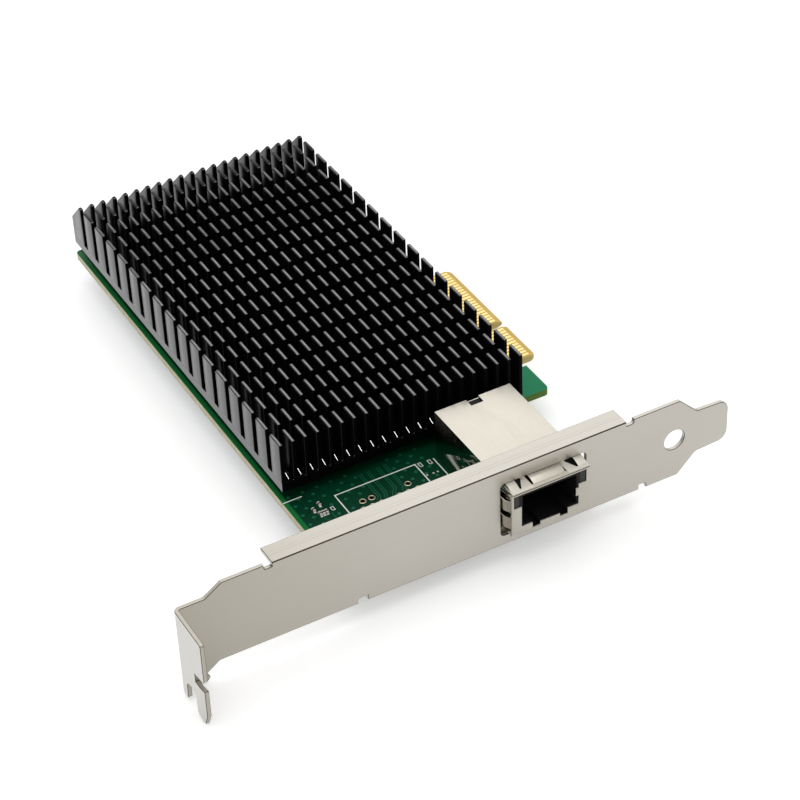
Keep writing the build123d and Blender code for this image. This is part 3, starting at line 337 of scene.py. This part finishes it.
def extrusion_lines(g):
    """Fine noise drawn out along the blades, as the die leaves it."""
    return g.noise(1400.0, 4.0, (1.0, 0.06, 1.0), 0.6)


def heatsink_material():
    """Black anodised aluminium with the fine lines of extrusion."""
    g = Graph("black_anodised")
    draw = extrusion_lines(g)
    broad = g.noise(55.0)
    base = (0.012, 0.012, 0.0125, 1.0)
    shade = g.mix(g.spread(draw), scaled(base, 0.8), scaled(base, 1.3))
    g.set(color=shade, ior=2.10, rough=g.spread(broad, 0.24, 0.31))
    g.bump(draw, 0.05, POLISH_DEPTH)
    return g.mat


def tip_material(name, ior, shade_scale=1.0):
    """The tops of the blades, in copies that differ by painted light: brighter at the front, dimmer towards
    the far end, and darker on the shoulders and the last two rows.
    """
    g = Graph(name)
    draw = extrusion_lines(g)
    dark, pale = (0.026, 0.026, 0.027, 1.0), (0.044, 0.044, 0.045, 1.0)
    shade = g.mix(g.spread(draw), scaled(dark, shade_scale), scaled(pale, shade_scale))
    g.set(color=shade, ior=ior, rough=g.spread(g.noise(55.0), 0.26, 0.34))
    g.bump(draw, 0.04, POLISH_DEPTH)
    return g.mat


def gap_shade_material():
    """The flanks of the blades inside the gaps, painted near black with little reflection as shade."""
    g = Graph("black_flank_painted_shade")
    draw = extrusion_lines(g)
    dark, pale = (0.0012, 0.0012, 0.0013, 1.0), (0.0024, 0.0024, 0.0026, 1.0)
    g.set(color=g.mix(g.spread(draw), dark, pale), ior=1.30, rough=g.spread(g.noise(60.0), 0.30, 0.38))
    g.bump(draw, 0.05, POLISH_DEPTH)
    return g.mat


def sawn_shade_material():
    """The sawn ends of the blades, with faint upright saw marks; their dead black with almost no reflection
    is painted shade.
    """
    g = Graph("black_sawn_painted_shade")
    saw = g.noise(2600.0, 4.0, (1.0, 1.0, 0.08), 0.6)
    dark, pale = (0.0006, 0.0006, 0.0006, 1.0), (0.0014, 0.0014, 0.0015, 1.0)
    g.set(color=g.mix(g.spread(saw), dark, pale), ior=1.12, rough=g.spread(g.noise(70.0), 0.55, 0.65))
    g.bump(saw, 0.08, GRAIN_DEPTH)
    return g.mat


def build_materials():
    return {
        "board": board_material(),
        "bracket": bracket_material(),
        "shield": shield_material(),
        "heatsink": heatsink_material(),
        "sawn": sawn_shade_material(),
        "gap": gap_shade_material(),
        # Copies of one tip finish that differ by painted light, through their IOR and shade scale.
        "tip": tip_material("black_tip_painted_bright", 2.42),
        "tip_far": tip_material("black_far_tip_painted_dimmer", 1.80),
        "tip_side": tip_material("black_tip_shoulder_painted_shade", 1.48, 0.7),
        "tip_shaded": tip_material("black_last_tips_painted_shade", 1.25, 0.35),
        "fold": fold_shade_material(),
        # Bright metal for the slivers that are painted glints in the gaps.
        "bare": surface(
            "glint_aluminium", lin(232, 232, 230), 0.14, metal=1.0, tint=0.03, span=0.02, bump=0.03,
        ),
        "gold": surface("gold_contact", lin(230, 202, 134), 0.28, metal=1.0, tint=0.05),
        "solder": surface("tin_solder", lin(206, 203, 194), 0.26, metal=1.0, tint=0.08, patch=300.0),
        "ring": surface("plated_ring", lin(214, 202, 168), 0.34, metal=1.0, tint=0.08, patch=300.0),
        # The barrel's dark brown is painted shade inside the holes.
        "barrel": surface("barrel_painted_shade", lin(34, 24, 14), 0.50, ior=1.3, tint=0.10, patch=300.0),
        # Near-white tin: partly its own colour, partly a painted highlight.
        "tinned": surface("tinned_end_and_highlight", lin(236, 234, 228), 0.32, metal=0.3, tint=0.05, patch=300.0),
        "screw": surface("screw_steel", lin(178, 178, 180), 0.30, metal=1.0, tint=0.10),
        "brass": surface("brass_post", lin(198, 168, 104), 0.30, metal=1.0, tint=0.08),
        "black_plastic": surface("moulded_black", lin(13, 13, 14), 0.60, ior=1.30, tint=0.15, grain=1200.0),
        "window": surface("smoked_window", lin(30, 30, 31), 0.32, ior=1.4, tint=0.08),
        "chip": surface("chip_resin", lin(38, 38, 40), 0.55, tint=0.15, grain=2200.0, bump=0.3),
        "substrate": surface("substrate_green", lin(36, 92, 60), 0.40, tint=0.12),
        "lid": surface("lid_metal", lin(176, 176, 174), 0.34, metal=1.0, tint=0.06),
        "pad": surface("thermal_pad", lin(150, 156, 164), 0.85, tint=0.10, bump=0.4),
        "ferrite": surface("ferrite_grey", lin(70, 70, 72), 0.70, tint=0.15, bump=0.4),
        "ceramic": surface("ceramic_tan", lin(84, 64, 46), 0.45, tint=0.12, grain=2600.0),
        "silk": surface("silkscreen_white", lin(245, 248, 243), 0.60, tint=0.04, grain=4000.0),
        "trace": surface("mask_over_copper", lin(20, 94, 66), 0.30, tint=0.10, grain=1500.0),
        "stitch": surface("mask_over_pad", lin(24, 100, 76), 0.32, tint=0.10, grain=1500.0),
    }


# Mesh helpers

def new_piece(name, bm, material, replaces=(), smooth=False):
    """A piece of the card from a finished mesh, standing for the CAD nodes in replaces."""
    mesh = bpy.data.meshes.new(name)
    bm.normal_update()
    bm.to_mesh(mesh)
    bm.free()
    for face in mesh.polygons:
        face.use_smooth = smooth
    mesh.materials.append(material)
    obj = bpy.data.objects.new(name, mesh)
    bpy.context.scene.collection.objects.link(obj)
    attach(obj, "root")
    if replaces:
        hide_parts(*replaces)
    return obj


def rounded(obj, width, segments=2):
    """Small rounding on the edges sharper than 30 degrees, in millimetres."""
    mod = obj.modifiers.new("edge", "BEVEL")
    mod.width = width * MM
    mod.segments = segments
    mod.limit_method = "ANGLE"
    mod.angle_limit = math.radians(30.0)
    mod.harden_normals = True
    for face in obj.data.polygons:
        face.use_smooth = True
    return obj


def dressed(node, name, material, width):
    """The CAD solid of a node with its seams welded and its edges lightly rounded."""
    bm = bmesh.new()
    bm.from_mesh(NODES[node].data)
    weld_distance, flat_angle = 0.5e-6, math.radians(0.6)
    bmesh.ops.remove_doubles(bm, verts=bm.verts, dist=weld_distance)
    bmesh.ops.dissolve_limit(
        bm, angle_limit=flat_angle, use_dissolve_boundaries=False, verts=bm.verts, edges=bm.edges,
    )
    return rounded(new_piece(name, bm, material, (node,)), width)


def dress_bracket(mats):
    """Folded sheet with painted shade, a dark line, along the outside of its two long folds and on its
    rounded edges.
    """
    sheet = dressed("bracket", "bracket_sheet", mats["bracket"], 0.10)
    sheet.data.materials.append(mats["fold"])
    # The fold material is painted shade; the faces on the outside of the two long folds take it.
    fold_shade_slot, fold_height = 1, 0.4
    for face in sheet.data.polygons:
        face.use_smooth = False
        n, c = face.normal, face.center / MM
        on_fold = c.y < 0.3 and n.y < -0.2 and abs(n.z) > 0.2
        at_high = c.z > BRACKET_HIGH_Z - fold_height
        at_low = BRACKET_LOW_Z - 0.1 < c.z < BRACKET_LOW_Z + fold_height
        if on_fold and (at_high or at_low):
            face.material_index = fold_shade_slot
    edge = sheet.modifiers["edge"]
    # The rounded edges take the painted shade as well.
    edge.material = fold_shade_slot
    edge.use_clamp_overlap = False
    edge.harden_normals = False


def dress_shell(mats):
    """Socket shell with its front lip drawn lower and a painted shade line, a thin dark strip, along the
    lip.
    """
    shell = dressed("jack_shield", "jack_shell", mats["shield"], 0.05)
    lip_back, cad_lip_top, cad_step, step, near = -2.0, 11.30, 0.35, 0.12, 0.02
    for vertex in shell.data.vertices:
        _, y, z = vertex.co / MM
        if y >= lip_back:
            continue
        if z > cad_lip_top:
            vertex.co.z = LIP_TOP * MM
        elif abs(z - PLUG_TOP) < near:
            vertex.co.z = (PLUG_TOP + LIP_LIFT) * MM
        elif abs(z - PLUG_TOP - cad_step) < near:
            vertex.co.z = (PLUG_TOP + LIP_LIFT + step) * MM
    # Painted shade: a thin dark strip just in front of the lip stands for the dark line along it.
    line = bmesh.new()
    z = (LIP_TOP + PLUG_TOP + LIP_LIFT + step) / 2
    front = min(vertex.co.y for vertex in shell.data.vertices) / MM
    inset, half = 0.1, 0.10
    add_box(line, JACK_X[0] + inset, JACK_X[1] - inset, front - 0.015, front + 0.03, z - half, z + half)
    rounded(new_piece("jack_lip_shade_line", line, mats["fold"]), 0.01, 1)


def add_box(bm, x0, x1, y0, y1, z0, z1):
    corners = [(x, y, z) for x in (x0, x1) for y in (y0, y1) for z in (z0, z1)]
    v = [bm.verts.new(Vector(c) * MM) for c in corners]
    for f in ((0, 1, 3, 2), (4, 6, 7, 5), (0, 4, 5, 1), (2, 3, 7, 6), (0, 2, 6, 4), (1, 5, 7, 3)):
        bm.faces.new([v[i] for i in f])


def ring_verts(bm, rings):
    return [[bm.verts.new(Vector(p) * MM) for p in ring] for ring in rings]


def add_skin(bm, made):
    """Four-sided faces between each ring of vertices and the next."""
    n = len(made[0])
    for a, b in zip(made, made[1:]):
        for k in range(n):
            bm.faces.new((a[k], a[(k + 1) % n], b[(k + 1) % n], b[k]))


def add_rings(bm, rings):
    """Closed body over a list of rings with equal numbers of points, in millimetres."""
    made = ring_verts(bm, rings)
    add_skin(bm, made)
    bm.faces.new(list(reversed(made[0])))
    bm.faces.new(made[-1])


def add_lathe(bm, x, y, profile, steps, closed=False):
    """Turned form about an upright axis, from (radius, z) pairs; a closed one is a ring."""
    rings = []
    for r, z in profile:
        ring = []
        for k in range(steps):
            a = 2 * math.pi * k / steps
            ring.append((x + r * math.cos(a), y + r * math.sin(a), z))
        rings.append(ring)
    if closed:
        made = ring_verts(bm, rings)
        add_skin(bm, made + made[:1])
    else:
        add_rings(bm, rings)


def add_strip(bm, points, width, heights):
    """Flat ribbon along a polyline on the board, with mitred corners."""
    z0, z1 = heights
    mitre_limit = 0.4
    pts = [Vector((x, y)) for x, y in points]
    sides = []
    for i, p in enumerate(pts):
        before = (p - pts[i - 1]).normalized() if i else None
        after = (pts[i + 1] - p).normalized() if i + 1 < len(pts) else None
        d = (before or after) if not (before and after) else (before + after).normalized()
        n = Vector((-d.y, d.x))
        scale = 1.0
        if before and after:
            scale = 1.0 / max(mitre_limit, n.dot(Vector((-before.y, before.x))))
        sides.append((p + n * width / 2 * scale, p - n * width / 2 * scale))
    rings = []
    for left, right in sides:
        rings.append([
            (left.x, left.y, z0), (right.x, right.y, z0), (right.x, right.y, z1), (left.x, left.y, z1),
        ])
    add_rings(bm, rings)


# Heatsink

# Flare of a blade's root: how far it stands out from the flank, and at what height over the base
ROOT_FLARE = [(0.30, -0.02), (0.10, 0.12), (0.0, 0.45)]

# Finishes of the blades, in the order of their material slots; the sawn, gap and tip slots differ by
# painted light and shade
BLADE_FINISHES = ("heatsink", "sawn", "gap", "tip", "tip_far", "tip_side", "tip_shaded")
OUTER, SAWN_SHADE, GAP_SHADE, TIP, TIP_FAR, TIP_SIDE, TIP_SHADED = range(len(BLADE_FINISHES))


def fin_section(x, top, inset=0.0):
    """Closed section of one blade in X and Z: flared root, straight sides and a rounded tip."""
    half = FIN_THICKNESS / 2 - inset
    c = x + FIN_THICKNESS / 2
    tip = top - inset
    r = TIP_ROUND
    pts = [(c - half - out, SINK_FLOOR + up) for out, up in ROOT_FLARE]
    for k in range(4):
        a = math.radians(180 - 30 * k)
        pts.append((c - half + r + r * math.cos(a), tip - r + r * math.sin(a)))
    for k in range(4):
        a = math.radians(90 - 30 * k)
        pts.append((c + half - r + r * math.cos(a), tip - r + r * math.sin(a)))
    pts += [(c + half + out, SINK_FLOOR + up) for out, up in reversed(ROOT_FLARE)]
    return pts


def blade_finish(face):
    """Material slot of a blade's face, from its direction and its place."""
    n, c = face.normal, face.center / MM
    # Faces at the sawn ends take the dead black that is painted shade.
    if abs(n.y) > 0.80:
        return SAWN_SHADE
    outer = c.x < SINK_X[0] + 0.02 or c.x > SINK_X[1] - 0.02
    if outer and abs(n.x) > 0.95:
        return OUTER
    if n.z > 0.90:
        # Painted light: tips of the last two rows and the shoulders take darker copies, tips near the far
        # end a dimmer one, the rest the brightest.
        rows_left = (SINK_END - c.y) / ROW_PITCH
        if rows_left < 2:
            return TIP_SHADED
        if n.z < 0.98:
            return TIP_SIDE
        return TIP_FAR if rows_left < 6 else TIP
    # Flanks inside the gaps take the painted shade copy.
    return OUTER if n.z > 0.5 and abs(n.y) > 0.3 else GAP_SHADE


def build_blades(mats):
    """Saw-cut rows of blades, each blade with a rounded tip and a flared root."""
    bm = bmesh.new()
    soft = 0.10
    for row in range(ROW_COUNT):
        y0 = SINK_FRONT + row * ROW_PITCH
        y1 = y0 + (LAST_ROW_LENGTH if row == ROW_COUNT - 1 else ROW_LENGTH)
        slope = y1 - SINK_CHAMFER if row == ROW_COUNT - 1 else None
        stations = [(y0, soft), (y0 + soft, 0.0)]
        if slope is not None:
            stations.append((slope, 0.0))
        stations += [(y1 - soft, 0.0), (y1, soft)]
        for k in range(FIN_COUNT):
            x = SINK_X[0] + k * BLADE_PITCH
            rings = []
            for y, inset in stations:
                top = SINK_TOP - (max(0.0, y - slope) if slope is not None else 0.0)
                ring = []
                for px, pz in fin_section(x, top, inset * 0.8):
                    px = min(max(px, SINK_X[0]), SINK_X[1])
                    ring.append((px, y, pz))
                rings.append(ring)
            add_rings(bm, [list(reversed(ring)) for ring in rings])
    bmesh.ops.recalc_face_normals(bm, faces=bm.faces)
    body = new_piece("heatsink_blades", bm, mats["heatsink"], ("heatsink",))
    for key in BLADE_FINISHES[1:]:
        body.data.materials.append(mats[key])
    for face in body.data.polygons:
        face.use_smooth = True
        face.material_index = blade_finish(face)
    body.data.set_sharp_from_angle(angle=math.radians(40))


def build_sink_base(mats):
    """Plate under the blades, sawn on its top and its ends, which take the dead black of painted shade."""
    base = bmesh.new()
    add_box(base, SINK_X[0], SINK_X[1], SINK_FRONT, SINK_END, SINK_GAP, SINK_FLOOR)
    plate = new_piece("heatsink_base", base, mats["heatsink"])
    plate.data.materials.append(mats["sawn"])
    for face in plate.data.polygons:
        # Painted shade: the top and the ends take the sawn material's dead black.
        face.material_index = 1 if abs(face.normal.y) > 0.5 or face.normal.z > 0.5 else 0
    rounded(plate, 0.12)


def build_glint_slivers(mats):
    """One painted glint in each gap of the first row: a sliver of bright metal."""
    bm = bmesh.new()
    off_centre, from_front = 0.14, 0.70
    for k in range(FIN_COUNT - 1):
        x = SINK_X[0] + k * BLADE_PITCH + (FIN_THICKNESS + BLADE_PITCH) / 2 + off_centre
        add_glint_sliver(bm, x, SINK_FRONT + from_front)
    bmesh.ops.recalc_face_normals(bm, faces=bm.faces)
    new_piece("heatsink_glint_slivers", bm, mats["bare"])


def add_glint_sliver(bm, x, y):
    """Thin sliver of bright metal rising from the floor of a gap, a painted glint."""
    low = SINK_FLOOR - 0.02
    rise, length, half = 0.50, 1.4, 0.047
    front = [(x - half, y, low), (x + half, y, low), (x + half, y, low + 0.06), (x - half, y, low + 0.038)]
    back = [(px, y + length, pz if k < 2 else pz + rise) for k, (px, _, pz) in enumerate(front)]
    add_rings(bm, [front, back])


# Board details

def build_rings(mats):
    """Plated holes of the second socket position: a flat pale rim and a barrel painted dark brown as the
    shade inside the hole.
    """
    rims, barrels = bmesh.new(), bmesh.new()
    for x, y in SPARE_RINGS:
        for side, z in ((1, 0.0), (-1, BOARD_UNDER)):
            add_lathe(rims, x, y, [
                (0.50, z - side * 0.02), (0.52, z + side * 0.04), (0.60, z + side * 0.06),
                (0.72, z + side * 0.05), (0.79, z - side * 0.01), (0.72, z - side * 0.03),
            ], 28, True)
        add_lathe(barrels, x, y, [
            (0.50, 0.0), (0.46, -0.02), (0.46, BOARD_UNDER + 0.02),
            (0.50, BOARD_UNDER), (0.53, BOARD_UNDER / 2),
        ], 20, True)
    for bm in (rims, barrels):
        bmesh.ops.recalc_face_normals(bm, faces=bm.faces)
    new_piece("spare_port_rims", rims, mats["ring"], ("spare_port_rings",), True)
    new_piece("spare_port_barrels", barrels, mats["barrel"], (), True)


def build_silkscreen(mats):
    """White printed outlines on the component side, with no lettering."""
    bm = bmesh.new()
    wide, thin = 0.26, 0.15
    add_strip(bm, [(-14.0, 3.0), (-14.0, 26.45), (4.0, 26.45), (4.0, 3.0)], wide, PRINT_Z)
    add_strip(bm, [(8.05, 3.0), (8.05, 26.2)], wide, PRINT_Z)
    add_strip(bm, [(-23.75, 29.6), (-19.6, 29.6)], wide, PRINT_Z)
    for x, y in ((4.9, 25.8), (6.95, 25.6)):
        left, right, low, high = x - 0.30, x + 0.30, y - 0.60, y + 0.60
        outline = [(left, low), (right, low), (right, high), (left, high), (left, y - 0.48)]
        add_strip(bm, outline, thin, PRINT_Z)
    outline = [(-16.4, 22.8), (-15.8, 22.8), (-15.8, 23.8), (-16.4, 23.8), (-16.4, 22.92)]
    add_strip(bm, outline, thin, PRINT_Z)
    new_piece("silkscreen_lines", bm, mats["silk"])


# Traces from the heatsink's edge to the second socket position, and two beside the small capacitors
TRACE_PATHS = [
    [(-7.0, 29.6), (-6.95, 23.3), (-6.85, 21.7), (-7.7, 20.9)],
    [(-6.5, 29.6), (-6.45, 23.3), (-6.35, 21.7), (-6.9, 20.8)],
    [(-5.3, 29.6), (-5.3, 22.4), (-5.9, 20.6), (-6.1, 18.0)],
    [(-4.8, 29.6), (-4.8, 22.3), (-5.4, 20.5), (-5.6, 18.0)],
    [(-3.05, 29.6), (-3.05, 22.4), (-4.05, 21.1), (-4.6, 19.8), (-4.7, 18.0)],
    [(-2.55, 29.6), (-2.55, 22.2), (-3.55, 20.9), (-3.2, 20.6)],
    [(-1.45, 29.6), (-1.35, 21.8), (-1.7, 21.2), (-2.0, 18.0)],
    [(-0.95, 29.6), (-0.9, 21.8), (-1.2, 20.7)],
    [(-16.8, 19.2), (-16.8, 22.4)],
    [(-18.7, 22.0), (-18.7, 21.3), (-17.9, 20.3), (-17.0, 20.3)],
]


def build_traces(mats):
    """Copper under the green mask on both sides."""
    bm = bmesh.new()
    for path in TRACE_PATHS:
        add_strip(bm, path, 0.20, TRACE_Z)
    rng = random.Random(7)
    for k in range(26):
        x = -20.5 + 2.0 * k
        y0 = rng.uniform(34, 50)
        y1 = rng.uniform(70, 118)
        shift = rng.choice((-3.0, -1.5, 1.5, 3.0)) * 0.5
        middle = (y0 + y1) / 2
        path = [(x, y0), (x, middle - 2), (x + shift, middle), (x + shift, y1)]
        add_strip(bm, path, 0.22, UNDER_TRACE_Z)
    key_notch = (55.4, 58.8)
    for k in range(16):
        y = 46.3 + 2.05 * k
        if key_notch[0] < y < key_notch[1]:
            continue
        path = [(35.4, y), (30.5, y), (27.5, y + 3.0), (27.5, y + 6.0)]
        add_strip(bm, path, 0.22, UNDER_TRACE_Z)
        add_strip(bm, [(35.6, y), (32.0, y)], 0.24, TRACE_Z)
    new_piece("board_traces", bm, mats["trace"])


def build_stitching(mats):
    """Covered pads in a staggered pattern over the copper."""
    keep_out = [(x, y, 1.3) for x, y in SPARE_RINGS]
    keep_out += [(-18.3, 22.9, 1.8), (-17.9, 25.6, 0.7), (-19.6, 24.6, 0.7), (-16.1, 23.2, 1.1)]
    first_x, first_y, pitch_x, pitch_y = -22.05, 21.35, 1.57, 1.55
    long_radius, short_radius = 0.50, 0.30
    bm = bmesh.new()
    for i in range(21):
        for j in range(-4, 8):
            if (i + j) % 2:
                continue
            x = first_x + pitch_x * i
            y = first_y + pitch_y * j
            if x > 7.0 or y > 31.5:
                continue
            if any(math.hypot(x - a, y - b) < r for a, b, r in keep_out):
                continue
            if -7.4 < x < -0.5 and y > 17.5:
                continue
            if abs(x + 14.0) < 0.55 or abs(x - 4.0) < 0.55 or abs(y - 26.45) < 0.4:
                continue
            ring = []
            for k in range(8):
                a = math.pi * k / 4
                r = long_radius if k % 2 == 0 else short_radius
                ring.append((x + r * math.cos(a), y + r * math.sin(a)))
            add_rings(bm, [[(u, v, z) for u, v in ring] for z in PAD_Z])
    new_piece("covered_pads", bm, mats["stitch"])


def build_chip_ends(mats):
    """Tinned ends and solder on the small capacitors by the bracket, and four bare pads; their near-white
    is partly the tin's own colour and partly a painted highlight.
    """
    bm = bmesh.new()
    half_width, half_length, half_pad = 0.26, 0.51, 0.2
    caps = [(-19.0, 22.9), (-18.32, 22.9), (-17.64, 22.9), (-17.9, 25.6), (-19.6, 24.6)]
    for x, y in caps:
        for side in (-1, 1):
            edge = y + side * half_length
            for reach, top in ((-0.30, 0.51), (0.28, 0.06)):
                y0, y1 = sorted((edge, edge + side * reach))
                add_box(bm, x - half_width, x + half_width, y0, y1, 0.0, top)
    for x, y in ((4.48, 22.34), (5.88, 22.24), (6.84, 22.22), (-19.8, 20.3)):
        add_box(bm, x - half_pad, x + half_pad, y - half_pad, y + half_pad, *PRINT_Z)
    rounded(new_piece("chip_part_ends", bm, mats["tinned"]), 0.05)


def build_screws(mats):
    """Pan heads with a cross recess, on the component side and under the board; the recess is a dark cross
    just under each head's top, painted shade for its hollow.
    """
    ear_places = [(-16.8, 8.0), (28.9, 8.0)]
    sink_places = [(x, y) for x in (-17.57, 25.08) for y in (36.75, 122.91)]
    sink_end = SINK_GAP + 1.70
    specs = [
        ("bracket_screws", "bracket_screw_heads", ear_places, 2.70, 0.0, 1.60, 1.45, -2.43),
        ("heatsink_screws", "heatsink_screw_heads", sink_places, 2.30, BOARD_UNDER, -1.30, 1.25, sink_end),
    ]
    arm, half_arm = 1.35, 0.28
    for node, name, places, radius, seat, rise, shank, far in specs:
        bm = bmesh.new()
        top = seat + rise
        sign = 1 if rise > 0 else -1
        profile = [
            (shank, far), (shank, seat), (radius, seat), (radius, seat + rise * 0.45),
            (radius * 0.93, seat + rise * 0.75), (radius * 0.72, seat + rise * 0.95),
            (radius * 0.45, top), (0.62, top), (0.55, top - sign * 0.15), (0.50, top - sign * 0.9),
        ]
        for x, y in places:
            add_lathe(bm, x, y, profile, 32)
        bmesh.ops.recalc_face_normals(bm, faces=bm.faces)
        obj = new_piece(name, bm, mats["screw"], (node,), True)
        obj.data.set_sharp_from_angle(angle=math.radians(35))
        # Painted shade: a dark cross just under the top of each head stands for the hollow of the recess.
        cross = bmesh.new()
        lo, hi = sorted((top - sign * 0.01, top - sign * 0.25))
        for x, y in places:
            add_box(cross, x - arm, x + arm, y - half_arm, y + half_arm, lo, hi)
            add_box(cross, x - half_arm, x + half_arm, y - arm, y + arm, lo, hi)
        new_piece(name.replace("heads", "recess"), cross, mats["chip"])


def build_pins(mats):
    """Solder cones round the socket's pins."""
    bm = bmesh.new()
    centre, pitch = 17.45, 2.03
    cone = [(0.80, 0.0), (0.72, 0.10), (0.50, 0.35), (0.34, 0.70), (0.28, 1.0), (0.12, 1.1)]
    profile = [(r, BOARD_UNDER - drop) for r, drop in cone]
    for row, y in enumerate((20.20, 17.90)):
        for k in range(5):
            add_lathe(bm, centre + (k - 2 + 0.5 * row - 0.25) * pitch, y, profile, 20)
    bmesh.ops.recalc_face_normals(bm, faces=bm.faces)
    new_piece("jack_solder_cones", bm, mats["solder"], ("jack_pins",), True)


# Scene

def paint_nodes(mats):
    """Materials of the CAD nodes that are carried over."""
    plain = {
        "edge_contacts_top": "gold", "edge_contacts_bottom": "gold", "heatsink_standoffs": "brass",
        "jack_housing": "black_plastic", "jack_light_windows": "window", "jack_contacts": "gold",
        "jack_magnetics": "chip", "controller_substrate": "substrate", "controller_lid": "lid",
        "thermal_pad": "pad", "power_inductors": "ferrite", "voltage_regulators": "chip",
        "polymer_capacitors": "chip", "crystal": "lid", "flash_memory": "chip",
        "ceramic_capacitors": "ceramic", "resistors": "chip", "solder_side_capacitors": "ceramic",
        "circuit_board": "board",
    }
    for node, key in plain.items():
        data = NODES[node].data
        data.materials.clear()
        data.materials.append(mats[key])


def flat_card(name, corners):
    """One four-sided face in the scene, from its corners in metres."""
    bm = bmesh.new()
    bm.faces.new([bm.verts.new(c) for c in corners])
    mesh = bpy.data.meshes.new(name)
    bm.to_mesh(mesh)
    bm.free()
    card = bpy.data.objects.new(name, mesh)
    bpy.context.scene.collection.objects.link(card)
    return card


def build_stage():
    """White floor just under the part; it keeps the part's shadow."""
    size = 3.0
    z = CAD_BOX[0][2] - 0.0001
    floor = flat_card("floor", [(-size, -size, z), (size, -size, z), (size, size, z), (-size, size, z)])
    g = Graph("floor_white")
    g.set(color=(0.90, 0.90, 0.90, 1.0), rough=0.9)
    path = g.add("ShaderNodeLightPath")
    seen = g.math("MAXIMUM", path.outputs["Is Camera Ray"], path.outputs["Is Glossy Ray"])
    seen = g.math("MAXIMUM", seen, path.outputs["Is Transmission Ray"])
    g.set(emit=(1.0, 1.0, 1.0, 1.0), emit_strength=g.math("MULTIPLY", seen, 0.36))
    floor.data.materials.append(g.mat)


def area_light(name, place, target, size, power):
    data = bpy.data.lights.new(name, "AREA")
    data.shape = "RECTANGLE"
    data.size, data.size_y = size
    data.energy = power
    light = bpy.data.objects.new(name, data)
    bpy.context.scene.collection.objects.link(light)
    light.location = place
    light.rotation_mode = "QUATERNION"
    light.rotation_quaternion = (Vector(target) - Vector(place)).to_track_quat("-Z", "Y")


def flag_card():
    """Dark card low in front of the part, which gives the folded metal its dark lines."""
    y, low, high, half = -1.2, CAD_BOX[0][2], 0.36, 1.6
    card = flat_card("flag_card", [(-half, y, low), (half, y, low), (half, y, high), (-half, y, high)])
    card.visible_camera = False
    g = Graph("flag_black")
    g.set(color=(0.01, 0.01, 0.01, 1.0), rough=0.9)
    card.data.materials.append(g.mat)


def build_lights():
    """White surroundings, dimmer as a light than as they are seen, and two soft lamps."""
    world = bpy.data.worlds.new("studio")
    bpy.context.scene.world = world
    world.use_nodes = True
    tree = world.node_tree
    background = tree.nodes["Background"]
    background.inputs["Color"].default_value = (1.0, 1.0, 1.0, 1.0)
    path = tree.nodes.new("ShaderNodeLightPath")
    seen = path.outputs["Is Camera Ray"]
    for name in ("Is Glossy Ray", "Is Transmission Ray"):
        join = tree.nodes.new("ShaderNodeMath")
        join.operation = "MAXIMUM"
        tree.links.new(seen, join.inputs[0])
        tree.links.new(path.outputs[name], join.inputs[1])
        seen = join.outputs["Value"]
    level = tree.nodes.new("ShaderNodeMapRange")
    level.inputs["To Min"].default_value = 0.62
    level.inputs["To Max"].default_value = 1.0
    tree.links.new(seen, level.inputs["Value"])
    tree.links.new(level.outputs["Result"], background.inputs["Strength"])
    centre = (0.0, 0.06, 0.0)
    area_light("top_soft", (-0.10, 0.05, 0.95), centre, (0.9, 0.9), 3.0)
    area_light("back_soft", (0.40, 0.85, 0.66), centre, (0.9, 0.7), 1.2)


def build_camera():
    """The photograph's view, solved from the card's standard sizes."""
    focal, width = 2526.56, 800.0
    cx, cy = 380.91, 398.51
    forward = Vector((0.35968311, 0.69583588, -0.62164337))
    right = Vector((0.87352565, -0.48530775, -0.03780645))
    down = Vector((-0.32799543, -0.52942309, -0.78238749))
    data = bpy.data.cameras.new("view")
    sensor = 36.0
    data.sensor_width = sensor
    data.lens = focal / width * sensor
    data.shift_x = (width / 2 - cx) / width
    data.shift_y = (cy - width / 2) / width
    data.clip_start, data.clip_end = 0.02, 10.0
    camera = bpy.data.objects.new("view", data)
    bpy.context.scene.collection.objects.link(camera)
    turn = Matrix((right, -down, -forward)).transposed()
    place = Vector((-177.287, -311.081, 321.097)) * MM
    camera.matrix_world = Matrix.Translation(place) @ turn.to_4x4()
    bpy.context.scene.camera = camera


mats = build_materials()
paint_nodes(mats)
dress_bracket(mats)
dress_shell(mats)
build_blades(mats)
build_sink_base(mats)
build_glint_slivers(mats)
build_rings(mats)
build_silkscreen(mats)
build_traces(mats)
build_stitching(mats)
build_chip_ends(mats)
build_screws(mats)
build_pins(mats)
build_stage()
flag_card()
build_lights()
build_camera()
bpy.context.scene.view_settings.view_transform = "Standard"
